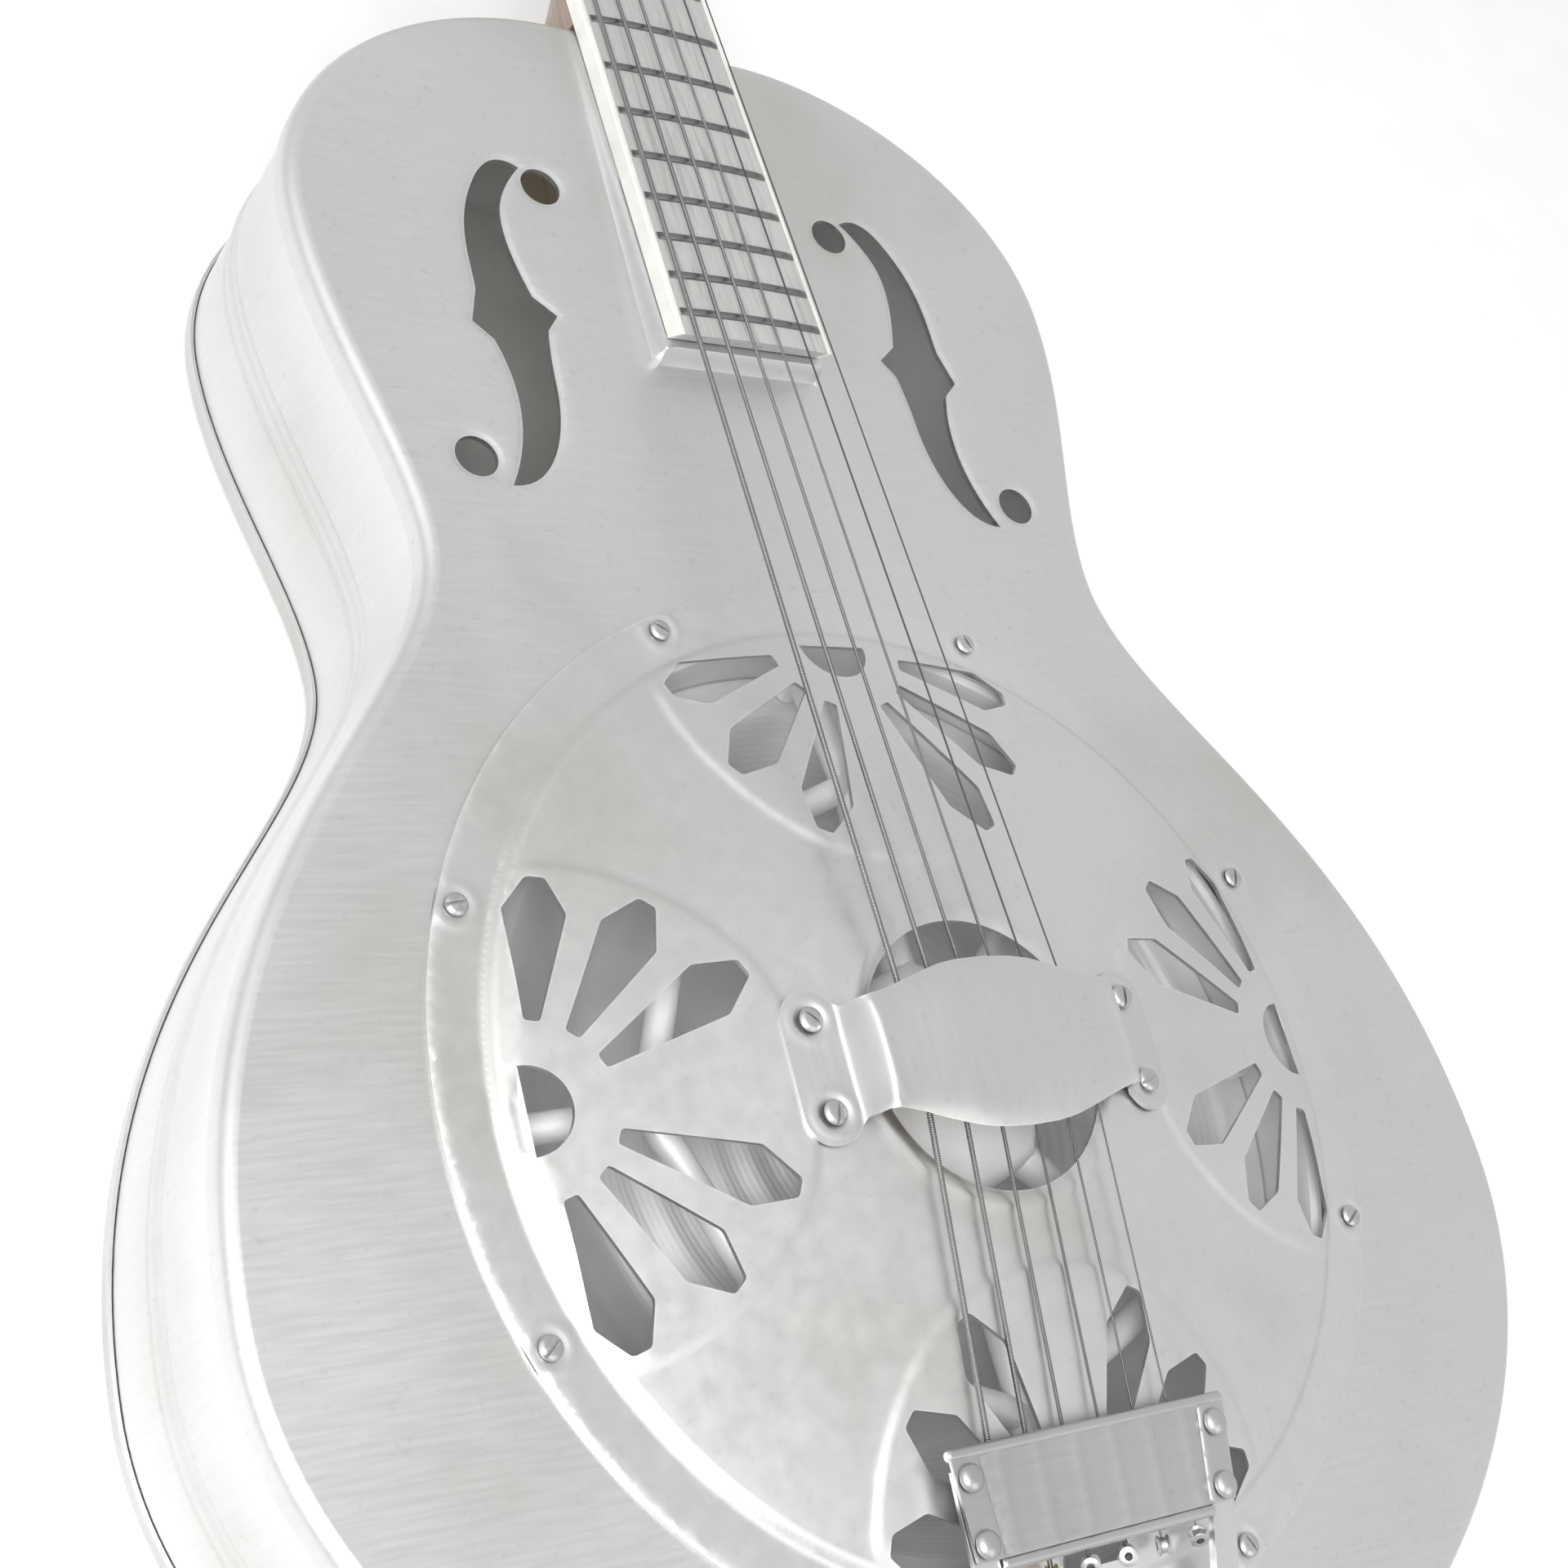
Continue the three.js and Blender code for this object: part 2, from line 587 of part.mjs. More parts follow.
function coverPlate() {
  const radii = [0, 0.33, 0.67, 1].map((s) => coverHoleRadius + s * domeReach);
  const upper = [...radii.map((r) => [r, coverZ(r)]), [stepRadius, flangeTop], [coverRadius, flangeTop]];
  const lower = upper.map(([r, z]) => [r, z - coverSheet]);
  const dome = solid(turnedZ(closed([...lower, ...upper.reverse()]), 40));
  const oneFan = fan();
  const fans = [0, 90, 180, 270].map((a) => oneFan.rotate([0, 0, a]));
  const screwHoles = ringPlaces.map((p) => screwHole(p, pilotRadius, topFace, flangeTop + 1));
  const restHoles = restScrews.map(([x, y]) =>
    screwHole(v2(x, y), restPilotRadius, topFace, flangeTop + coverRise + 2));
  return cut(dome, [...fans, ...screwHoles, ...restHoles]);
}

// A slotted screw standing at z = 0 under its head.
function screw({ head, height, shank, length }) {
  const body = solid(turnedZ([[0, -length], [shank, -length + 1], [shank, 0], [head, 0],
    [head, height * 0.45], [head * 0.6, height], [0, height]], 8));
  const slot = box([-head - 1, -0.35, height * 0.55], [head + 1, 0.35, height + 1]);
  return body.subtract(slot);
}

// ---------------------------------------------------------------- palm rest
const restSlope = (coverZ(restHalfSpan - 7) - coverZ(restHalfSpan + 7)) / 14;
const footZ = (x) => coverZ(restHalfSpan) + gap - (Math.abs(x) - restHalfSpan) * restSlope;
const footTop = footZ(restHalfSpan) + restSheet;

// Each station is [distance from the middle, underside height, half width, droop of the edges].
function palmRest() {
  const crown = topFace + restTopHeight - restSheet;
  const stations = [[restHalfSpan + restLobe, footZ(restHalfSpan + restLobe), restScrewY, 0],
    [restHalfSpan - 6, footZ(restHalfSpan - 6), restNarrow + 1, 0],
    [restHalfSpan - 10, crown - 6, restNarrow, 0.6], [restHalfSpan - 15, crown - 1.6, restNarrow + 1.5, 1.2],
    [restHalfSpan - 22, crown - 0.4, restNarrow + 4.6, 1.6],
    [restHalfSpan / 2 - 11, crown, restHalfWidth - 1.6, 2],
    [0, crown, restHalfWidth, 2]];
  const section = (x, z, half, droop) => {
    const shares = [-1, -0.7, 0, 0.7, 1];
    const drop = (s) => droop * s * s * s * s;
    const over = shares.map((s) => v3(x, s * half, z + restSheet - drop(s)));
    const under = shares.map((s) => v3(x, s * (half - restSheet / 2), z - drop(s))).reverse();
    return [...over, ...under];
  };
  const right = stations.map(([x, ...rest]) => section(x, ...rest));
  const left = stations.slice(0, -1).map(([x, ...rest]) => section(-x, ...rest)).reverse();
  const strap = solid(loft([...right, ...left], onYZ));
  const lobe = ([x, y]) => {
    const tilt = -Math.sign(x) * Math.atan(restSlope);
    const g = new THREE.CylinderGeometry(restLobe, restLobe, restSheet, 14).rotateX(Math.PI / 2);
    g.rotateY(-tilt).translate(x, y, footZ(x) + restSheet / 2);
    return solid(g);
  };
  const holes = restScrews.map(([x, y]) =>
    screwHole(v2(x, y), restPilotRadius, topFace, topFace + restTopHeight));
  return cut(joined([strap, ...restScrews.map(lobe)]), holes);
}

// ---------------------------------------------------------------- tailpiece
const tailSlope = (tailFrontHeight - tailRearHeight) / tailLength;
const tailTopZ = (y) => topFace + tailFrontHeight + (y - tailFront) * tailSlope;
const tailHalf = (y) => tailHalfRear + ((tailHalfFront - tailHalfRear) * (y - tailRear)) / tailLength;
const wallY = tailRear - 1.2; // middle of the rear wall that stops the ball ends
const rivetHoles = () => rivets.flatMap(([x, y]) => [x, -x].map((side) =>
  screwHole(v2(side, y), rivetShank + gap, topFace, topFace + tailFrontHeight + 4)));

function tailPlate() {
  const corner = (y, drop) => v3(0, y, tailTopZ(y) - drop);
  const ring = (sign) => [[tailFront, 0], [tailRear, 0], [tailRear, tailSheet], [tailFront, tailSheet]]
    .map(([y, drop]) => corner(y, drop).setX(sign * tailHalf(y)));
  const plate = solid(loft([ring(-1), ring(1)], onYZ));
  const roll = (y, half) => {
    const z = tailTopZ(y) - tailRoll + 0.2;
    return rod(tailRoll, v3(-half, y, z), v3(half, y, z), 10);
  };
  const wallLow = ballZ - ballRadius - 1;
  const wall = box([-tailHalfRoll, wallY - tailSheet / 2, wallLow], [tailHalfRoll, wallY + tailSheet / 2,
    tailTopZ(wallY) - 1]);
  const stringHoles = stringRadii.map((radius, i) => {
    const x = stringAt(i, tailSpacing);
    const z = ballZ + (wallY - ballY) * stringSlope;
    return rod(radius + 0.7, v3(x, wallY - 3, z), v3(x, wallY + 3, z), 8);
  });
  return cut(joined([plate, roll(tailFront, tailHalfFront), roll(wallY, tailHalfRoll), wall]),
    [...stringHoles, ...rivetHoles()]);
}

const strapEnd = -tailReach - gap - strapSheet;

// One strap, from under the plate over the tail end and down the side. Places are [x, y, z] of its middle.
function strap(sign) {
  const under = (y) => tailTopZ(y) - tailSheet - gap - strapSheet / 2;
  const front = tailFront - 3.2;
  const rest = topFace + 2.6;
  const end = strapEnd;
  const places = [[rivets[0][0], front, under(front)], [rivets[1][0], tailRear, under(tailRear)],
    [strapTailHalf + 3, strapRest - tailReach, topFace + 5], [strapTailHalf, end + 4, rest],
    [strapTailHalf, end + 0.6, rest - 1.4],
    [strapTailHalf, end - 0.6, rest - 4.5], [strapTailHalf, end - 0.6, stickMiddle]];
  const rings = places.map(([x, y, z], i) => {
    const before = places[Math.max(i - 1, 0)];
    const after = places[Math.min(i + 1, places.length - 1)];
    const along = v2(after[1] - before[1], after[2] - before[2]).normalize().multiplyScalar(strapSheet / 2);
    const half = strapWidth / 2;
    return [[-half, 1], [half, 1], [half, -1], [-half, -1]].map(([dx, side]) =>
      v3(sign * x + dx, y + along.y * side, z - along.x * side));
  });
  return solid(loft(rings, (p) => [p.x, p.z - p.y]));
}

function tailHanger() {
  const y = [strapEnd - 0.8 - strapSheet / 2, strapEnd - 0.4 + strapSheet / 2];
  const half = strapTailHalf + strapWidth / 2 + 0.5;
  const bracket = box([-half, y[0], stickMiddle - 12], [half, y[1], stickMiddle + 10]);
  const pinHole = rod(pinShaft + gap, v3(0, strapEnd - 5, stickMiddle), v3(0, strapEnd + 5, stickMiddle));
  return cut(joined([strap(-1), strap(1), bracket]), [pinHole, ...rivetHoles()]);
}

function rivet() {
  const length = tailSheet + strapSheet + 2 * gap + 0.6;
  return turnedZ([[0, -length], [rivetShank, -length], [rivetShank, 0], [rivetRadius, 0],
    [rivetRadius * 0.92, 0.9], [rivetRadius * 0.6, 1.7], [0, 2.1]], 8);
}

function endPin() {
  const face = strapSheet * 2 + gap * 2 + 0.6;
  const g = new THREE.LatheGeometry([v2(0, -12), v2(pinShaft, -11), v2(pinShaft, face), v2(7.5, face),
    v2(5, face + 4), v2(5, face + 8), v2(8, face + 11), v2(5, face + 14), v2(0, face + 14.5)], 14);
  return g.rotateX(Math.PI).translate(0, -tailReach, stickMiddle);
}

// ---------------------------------------------------------------- neck, in its own frame
// Here Z = 0 is the fretboard's surface and Y = 0 is the neck joint.
const neckGroup = new THREE.Group();
neckGroup.position.set(0, neckReach, boardZ);
neckGroup.rotation.x = -neckAngle;
const headGroup = new THREE.Group();
headGroup.position.set(0, nutY + nutThick, -boardThick - gap);
headGroup.rotation.x = -headAngle;
neckGroup.add(headGroup);
neckGroup.updateMatrixWorld(true);

const arch = (x, half) => -boardCrown * (x / half) ** 2;
const fretPlace = (n) => nutY - scaleLength * (1 - 2 ** (-n / 12));

// A section of the board: a flat underside and an arched top raised by lift.
function boardSection(half, low, lift, y, undercut = 0) {
  const shares = [1, 0.5, -0.5, -1];
  const over = shares.map((s) => v3(s * half, y, arch(s * half, half) + lift));
  return [v3(-half, y + undercut, low), v3(half, y + undercut, low), ...over];
}

function fretboard() {
  const end = nutY - gap;
  const board = solid(loft([boardSection(boardHalf(boardEnd), -boardThick, 0, boardEnd, boardUndercut),
    boardSection(boardHalf(end), -boardThick, 0, end)], onZX));
  const frets = [...Array(fretCount).keys()].map((i) => {
    const y = fretPlace(i + 1);
    const half = boardHalf(y) - fretInset;
    return solid(loft([[-1, -0.3], [0, fretHeight], [1, -0.3]].map(([side, lift]) =>
      boardSection(half, -2.5, lift, y + (side * fretWidth) / 2)), onZX));
  });
  return joined([board, ...frets]);
}

function nut() {
  const half = nutWidth / 2 - 0.2;
  const ring = (x) => [v3(x, nutY, -boardThick), v3(x, nutY + nutThick - gap, -boardThick),
    v3(x, nutY + nutThick - gap, nutHeight - nutFall), v3(x, nutY + 1, nutHeight), v3(x, nutY, nutHeight)];
  return loft([ring(-half), ring(half)], onYZ);
}

function neckShaft() {
  const top = -boardThick - gap;
  const section = (y, half, depth) => [...Array(9).keys()].map((i) => {
    const a = (i * Math.PI) / 8;
    return v3(half * Math.cos(a), y, top - depth * Math.sin(a) ** 0.8);
  });
  const end = nutY + nutThick + 12;
  const taper = (y, depth) => section(y, boardHalf(Math.max(y, 0)) - 0.2, depth);
  return solid(loft([taper(-12, neckDepthHeel), taper(heelLength, neckDepthHeel),
    taper(nutY - 30, neckDepthNut), section(nutY + nutThick, nutWidth / 2 - 0.2, neckDepthNut - 1),
    section(end, nutWidth / 2 + 2, 8)], onZX));
}

// Level slices from the top of the heel down to its foot.
function heel() {
  const top = -boardThick - gap - 4;
  const foot = stickLow * heelFootShare - boardZ;
  const slices = [[0, 1, 1], [0.18, 0.78, 0.95], [0.45, 0.56, 0.84], [0.8, 0.46, 0.72], [1, 0.42, 0.66]];
  const rings = slices.map(([s, length, width]) => {
    const half = (boardHalf(0) - 0.4) * width;
    const z = top + (foot - top) * s;
    const curve = [...Array(7).keys()].map((i) => {
      const a = (i * Math.PI) / 6;
      return v3(half * Math.cos(a), heelLength * length * Math.sin(a) ** 0.8, z);
    });
    return [...curve, v3(-half, -12, z), v3(half, -12, z)];
  });
  return solid(loft(rings, onXY));
}

// The head is drawn from the nut outwards; its long sides are straight where the tuner plates sit.
function headShape() {
  const root = nutWidth / 2 - 0.2;
  const s = new THREE.Shape();
  s.moveTo(root, -1);
  s.lineTo(root, 4);
  s.quadraticCurveTo(root + 2, 18, headHalfWidth, slotStart + 4);
  s.lineTo(headHalfWidth, slotEnd + 12);
  s.quadraticCurveTo(headHalfWidth - 2, headLength - 6, headHalfWidth - 10, headLength - 2);
  s.quadraticCurveTo(12, headLength - 8, 0, headLength);
  s.quadraticCurveTo(-12, headLength - 8, 10 - headHalfWidth, headLength - 2);
  s.quadraticCurveTo(2 - headHalfWidth, headLength - 6, -headHalfWidth, slotEnd + 12);
  s.lineTo(-headHalfWidth, slotStart + 4);
  s.quadraticCurveTo(-root - 2, 18, -root, 4);
  s.lineTo(-root, -1);
  return s;
}

function slotShape(x) {
  const r = slotWidth / 2;
  const s = new THREE.Shape();
  s.absarc(x, slotEnd - r, r, 0, Math.PI);
  s.absarc(x, slotStart + r, r, Math.PI, 2 * Math.PI);
  return s;
}

function head() {
  const blank = prismZ(headShape(), -headThick, 0, 5);
  const slots = [slotCentre, -slotCentre].map((x) => prismZ(slotShape(x), -headThick - 1, 1, 5));
  const bores = rollerPlaces.flatMap((y) => [1, -1].map((side) => rod(rollerRadius + rollerRunning,
    v3(side * (rollerReach - gap), y, -rollerDepth), v3(side * (headHalfWidth + 1), y, -rollerDepth), 10)));
  return cut(blank, [...slots, ...bores]);
}

const inFrame = (body, matrix) => body.transform(matrix.elements);

function neck() {
  headGroup.updateMatrix();
  const whole = joined([neckShaft(), heel(), inFrame(head(), headGroup.matrix)]);
  const half = stickWidth / 2 + gap;
  const toNeck = neckGroup.matrixWorld.clone().invert();
  const bodySide = box([-100, neckReach - 60, -20], [100, neckReach + gap, topFace + 40]);
  const mortise = box([-half, neckReach - 1, stickLow - gap],
    [half, neckReach + stickTenon + gap, stickTop + gap]);
  return cut(whole, [inFrame(bodySide, toNeck), inFrame(mortise, toNeck)]);
}

function neckStick() {
  const half = stickWidth / 2;
  const tail = sideInset + sheet + stickTailGap - tailReach;
  const bar = box([-half, tail, stickLow], [half, neckReach + stickTenon, stickTop]);
  const pinHole = rod(pinShaft + gap, v3(0, tail - 1, stickMiddle), v3(0, 15 - tailReach, stickMiddle));
  return bar.subtract(pinHole);
}

function stickBlock() {
  const [x, y] = stickBlockSize.map((size) => size / 2);
  return box([-x, -y, sheet + gap], [x, y, stickLow - gap]);
}

// ---------------------------------------------------------------- tuners, in the head's frame
// A plate for the treble side (side = 1) or the bass side (side = -1), with two lugs for each worm.
function tunerPlate(side) {
  const x = [plateX, plateX + tunerPlateThick];
  const reach = wormX + wormShaftRadius + 2.2;
  const lug = (y, z) => box([x[0], y - 3, z - 0.6], [reach, y + 3, z + 0.6]);
  const strip = box([x[0], rollerPlaces[0] - 10, -headThick + 0.8],
    [x[1], rollerPlaces.at(-1) + wormOffset + 6, -0.8]);
  const lugs = rollerPlaces.flatMap((y) => lugLevels.map((z) => lug(y + wormOffset, z)));
  const rollerHoles = rollerPlaces.map((y) => rod(rollerRadius + rollerRunning,
    v3(plateX - 1, y, -rollerDepth), v3(gearX, y, -rollerDepth), 10));
  const shaftHoles = rollerPlaces.map((y) => rod(wormShaftRadius + wormShaftPlay,
    v3(wormX, y + wormOffset, -headThick), v3(wormX, y + wormOffset, 0), 8));
  const plate = cut(joined([strip, ...lugs]), [...rollerHoles, ...shaftHoles]);
  return side > 0 ? plate : plate.mirror([1, 0, 0]);
}

// Worm, shaft and button in one piece, turning about Z; Z = 0 is level with the head's face.
function tunerButton() {
  const worm = [lugLevels[0] - 1, lugLevels[1] + 1];
  const neckEnd = -headThick - 4;
  const shaft = solid(turnedZ([[0, neckEnd - 4], [2.4, neckEnd - 4], [3, neckEnd],
    [wormShaftRadius, neckEnd + 1.4], [wormShaftRadius, worm[1]], [wormRadius, worm[1]],
    [wormRadius, worm[0]], [wormShaftRadius, worm[0]], [wormShaftRadius, 0.4], [0, 0.4]], 6));
  const top = neckEnd - 2;
  const shares = [[0, 0.3], [0.15, 0.8], [0.45, 1], [0.85, 0.8], [1, 0.3]];
  const rings = shares.map(([s, width]) => [...Array(8).keys()].map((i) => {
    const a = (i * Math.PI) / 4;
    return v3(buttonHalfWidth * width * Math.cos(a), (buttonThick / 2) * (0.5 + width / 2) * Math.sin(a),
      top - buttonLength * s);
  }));
  return shaft.add(solid(loft(rings, onXY)));
}

// Roller and gear in one piece, turning about X; the gear is on the side given.
function tunerRoller(side) {
  const shaft = rod(rollerRadius, v3(rollerReach, 0, 0), v3(gearX + gearThick + 0.6, 0, 0), 10);
  const teeth = [...Array(gearTeeth * 2).keys()].map((i) => {
    const r = i % 2 ? gearRadius - gearToothDepth : gearRadius;
    return v2(r, 0).rotateAround(v2(0, 0), (i * Math.PI) / gearTeeth);
  });
  const blank = new THREE.ExtrudeGeometry(new THREE.Shape(teeth), { depth: gearThick, bevelEnabled: false });
  const gear = solid(blank.rotateY(Math.PI / 2).translate(gearX, 0, 0));
  const roller = shaft.add(gear);
  return side > 0 ? roller : roller.mirror([1, 0, 0]);
}

// ---------------------------------------------------------------- strings
// Roller of each string, low E first, and its place beside the middle of the slot, outwards.
// The first roller is the one by the nut.
const windings = [[0, 1.9], [1, 0.1], [2, -1.3], [2, -1.3], [1, 0.1], [0, 1.9]];

// In the head's frame the string leaves the nut, touches the roller's top and winds over its far side.
function windingPoints(index, start) {
  const radius = stringRadii[index];
  const [roller, beside] = windings[index];
  const x = (slotCentre + beside) * (index < windings.length / 2 ? -1 : 1);
  const reach = rollerRadius + radius + gap;
  const centre = v2(rollerPlaces[roller], -rollerDepth);
  const away = centre.clone().sub(v2(start.y, start.z));
  const line = away.angle() > Math.PI ? away.angle() - 2 * Math.PI : away.angle();
  const first = line + Math.asin(reach / away.length()) + Math.PI / 2;
  const steps = Math.round(windingTurns * windingSteps);
  const pitch = (2 * radius + gap) * Math.sign(x);
  return [...Array(steps + 1).keys()].map((i) => {
    const a = first - (i * 2 * Math.PI) / windingSteps;
    const at = [centre.x + reach * Math.cos(a), centre.y + reach * Math.sin(a)];
    return v3(x + (pitch * i) / windingSteps, ...at);
  });
}

function guitarString(index) {
  const radius = stringRadii[index];
  const rise = radius + gap;
  const ball = v3(stringAt(index, tailSpacing), ballY, ballZ);
  const bridge = v3(stringAt(index, saddleSpacing), 0, saddleTop + rise);
  const overNut = v3(stringAt(index, nutSpacing), nutY + 1, nutHeight + rise);
  const start = headGroup.worldToLocal(neckGroup.localToWorld(overNut.clone()));
  const winding = windingPoints(index, start).map((p) => headGroup.localToWorld(p));
  const route = [ball, bridge, neckGroup.localToWorld(overNut.clone()), ...winding];
  const reach = v3(0, ballHalfLength, 0);
  const ferrule = rod(ballRadius, ball.clone().sub(reach), ball.clone().add(reach), 10);
  return wire(route, radius, 3).add(ferrule);
}

// ---------------------------------------------------------------- assembly
const guitar = new THREE.Group();
guitar.add(neckGroup);

addPiece(guitar, "body_top", bodyTop(), nickel());
addPiece(guitar, "body_sides", bodySides(), nickel());
addPiece(guitar, "body_back", rimmedPlate(0, 1).subtract(stickHole()), nickel());

addPiece(guitar, "cone_well", coneWell(), steel());
addPiece(guitar, "resonator_cone", resonatorCone(), spun());
addPiece(guitar, "spider_bridge", spiderBridge(), spun());
addPiece(guitar, "spider_screw", spiderScrew(), steel());
addPiece(guitar, "bridge_saddle", saddle(), maple());

addPiece(guitar, "cover_plate", coverPlate(), chrome());
ringPlaces.forEach((p, i) =>
  addPiece(guitar, `cover_screw_${i + 1}`, screw(coverScrew), steel(), [p.x, p.y, flangeTop + gap]));
addPiece(guitar, "palm_rest", palmRest(), chrome());
restScrews.forEach(([x, y], i) =>
  addPiece(guitar, `palm_rest_screw_${i + 1}`, screw(restScrew), steel(), [x, y, footTop + gap * 2]));

addPiece(guitar, "tailpiece_plate", tailPlate(), chrome());
addPiece(guitar, "tailpiece_hanger", tailHanger(), chrome());
rivets.flatMap(([x, y]) => [[-x, y], [x, y]]).forEach(([x, y], i) =>
  addPiece(guitar, `tailpiece_rivet_${i + 1}`, rivet(), steel(), [x, y, tailTopZ(y) + gap * 1.5]));
addPiece(guitar, "end_pin", endPin(), ebony());

addPiece(neckGroup, "neck", neck(), mahogany());
addPiece(guitar, "neck_stick", neckStick(), maple());
stickBlockPlaces.forEach((y, i) =>
  addPiece(guitar, `stick_block_${i + 1}`, stickBlock(), maple(), [0, y, 0]));
addPiece(neckGroup, "fretboard", fretboard(), ebony());
addPiece(neckGroup, "nut", nut(), bone());

[["bass", -1], ["treble", 1]].forEach(([name, side]) => {
  addPiece(headGroup, `tuner_plate_${name}`, tunerPlate(side), steel());
  rollerPlaces.forEach((y, i) => {
    addPiece(headGroup, `tuner_roller_${name}_${i + 1}`, tunerRoller(side), brass(), [0, y, -rollerDepth]);
    addPiece(headGroup, `tuner_button_${name}_${i + 1}`, tunerButton(), bone(),
      [side * wormX, y + wormOffset, 0]);
  });
});

stringRadii.forEach((radius, i) =>
  addPiece(guitar, `string_${stringRadii.length - i}`, guitarString(i), radius > 0.3 ? brass() : steel()));

export default guitar;
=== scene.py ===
# A metal-bodied resonator guitar on a pale floor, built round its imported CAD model.
# Meshes are worked out in millimetres in the CAD frame and made in metres.

import math

import bmesh
import bpy
import numpy as np
from mathutils import Matrix, Vector
from mathutils.geometry import delaunay_2d_cdt


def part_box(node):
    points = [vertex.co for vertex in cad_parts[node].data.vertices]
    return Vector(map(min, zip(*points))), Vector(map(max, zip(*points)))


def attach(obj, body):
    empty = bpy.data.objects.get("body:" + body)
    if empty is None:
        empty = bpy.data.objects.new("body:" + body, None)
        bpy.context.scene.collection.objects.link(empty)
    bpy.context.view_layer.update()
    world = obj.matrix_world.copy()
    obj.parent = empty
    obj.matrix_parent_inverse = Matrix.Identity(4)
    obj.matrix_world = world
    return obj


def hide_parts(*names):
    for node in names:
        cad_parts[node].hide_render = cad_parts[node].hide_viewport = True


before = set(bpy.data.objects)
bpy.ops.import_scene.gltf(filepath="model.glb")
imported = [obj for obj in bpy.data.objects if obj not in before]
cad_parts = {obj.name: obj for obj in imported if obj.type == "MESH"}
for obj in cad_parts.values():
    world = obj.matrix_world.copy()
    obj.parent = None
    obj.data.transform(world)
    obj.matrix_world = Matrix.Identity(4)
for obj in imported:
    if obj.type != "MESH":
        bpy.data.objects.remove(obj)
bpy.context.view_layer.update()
MM = 0.001


def cad(node):
    """Lowest and highest corner of a CAD node in millimetres."""
    low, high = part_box(node)
    return np.array(low) / MM, np.array(high) / MM


# ---------------------------------------------------------------- sizes, in millimetres
GAP = 0.3
SHEET = 1.5
RIM_RADIUS = 4
RIM_SKIRT = 8
RIM_WALL = 0.9
BACK_LOW, BACK_HIGH = cad("body_back")
SIDES_LOW, SIDES_HIGH = cad("body_sides")
TAIL_REACH = -BACK_LOW[1]
NECK_REACH = BACK_HIGH[1]
LOWER_HALF = BACK_HIGH[0]
TOP_FACE = SIDES_HIGH[2] + RIM_RADIUS + GAP
LOWER_Y, WAIST_HALF, WAIST_Y, UPPER_HALF, UPPER_Y, SHOULDER_HALF = -34.6, 108, 146, 124.5, 242.3, 31
BEAD_HEIGHT = 37
BEAD_PROUD = 0.8

HOLE_MIDDLE = np.array([66.6, 213.99])
EYELET_RADIUS = 5.9
UPPER_EYELET = (-18, 46)
LOWER_EYELET = (21.2, -44.2)

COVER_RADIUS = cad("cover_plate")[1][0]
COVER_HOLE_RADIUS = 33.8
COVER_SHEET = 1.2
COVER_RISE = 17.4
COVER_STEP = 2.2
STEP_RADIUS = COVER_RADIUS - 12
FLANGE_TOP = TOP_FACE + GAP + COVER_SHEET
DOME_REACH = STEP_RADIUS - 2.5 - COVER_HOLE_RADIUS
SCREW_CIRCLE = COVER_RADIUS - 4.6
SCREW_ANGLE = 22.1
FAN_RADIUS = COVER_RADIUS - 18.6
MOON_RADIUS = 10.2
PETALS = [(24.5, 62.5, 52), (49, 58.6, 48.5), (75, 55.5, 47)]
PETAL_START, PETAL_NECK, PETAL_WIDTH, PETAL_TIP = 20.4, 1.8, 7.1, 2.2
PANEL_ANGLES, PANEL_REACHES = [0, 24.5, 49, 75, 88], [66, 66, 62.2, 59, 58]

WELL_RADIUS = COVER_RADIUS - 15
CONE_LOW = TOP_FACE - 42
LEG_Z = TOP_FACE - 4.8
HUB_RADIUS = 31
HUB_TOP = LEG_Z + 7
RING_RADIUS = 81
LEG_RADIUS = 3.8
CONE_RIM_Z = TOP_FACE - SHEET - 20 + SHEET + GAP

SADDLE_TOP = cad("bridge_saddle")[1][2]
SADDLE_HALF = cad("bridge_saddle")[1][0]
SADDLE_SPACING, NUT_SPACING, TAIL_SPACING = 10.12, 6.68, 11.1
STRING_RADII = [0.72, 0.6, 0.48, 0.36, 0.26, 0.22]
WOUND_COUNT = 4
BALL_Y = -114.6
BALL_Z = TOP_FACE + 9.4

SCALE_LENGTH = 635
NECK_ANGLE = math.radians(2.71)
HEAD_ANGLE = math.radians(10)
BOARD_Z = TOP_FACE + 6.9
BOARD_THICK = 6.5
BOARD_CROWN = 0.8
BOARD_JOINT_HALF = 23.65
NUT_HALF = 19.8
NUT_Y = SCALE_LENGTH - (NECK_REACH - 2.6) / math.cos(NECK_ANGLE)
NUT_THICK = 5
FRET_COUNT = 19
FRET_HEIGHT = 1.1
BOARD_END = SCALE_LENGTH * 2 ** (-FRET_COUNT / 12) + NUT_Y - SCALE_LENGTH - 7.8
STICK_LOW, STICK_HIGH = cad("neck_stick")[0][2], cad("neck_stick")[1][2]
STICK_HALF = cad("neck_stick")[1][0]
STICK_MIDDLE = (STICK_LOW + STICK_HIGH) / 2
PIN_BORE = 4.2
HEEL_LENGTH = 46

HEAD_THICK = 15
HEAD_HALF = 34
SLOT_CENTRE, SLOT_HALF, SLOT_START, SLOT_END = 15.5, 6.5, 22, 138
HEAD_LENGTH = 168
ROLLERS = [48, 84, 120]
ROLLER_RADIUS = 3
ROLLER_BORE = ROLLER_RADIUS + 0.45
ROLLER_DEPTH = 7.5
GEAR_TEETH = 15
WORM_X = 38.4
WORM_OFFSET = 10
PLATE_X = 34.3
PLATE_THICK = 1.2

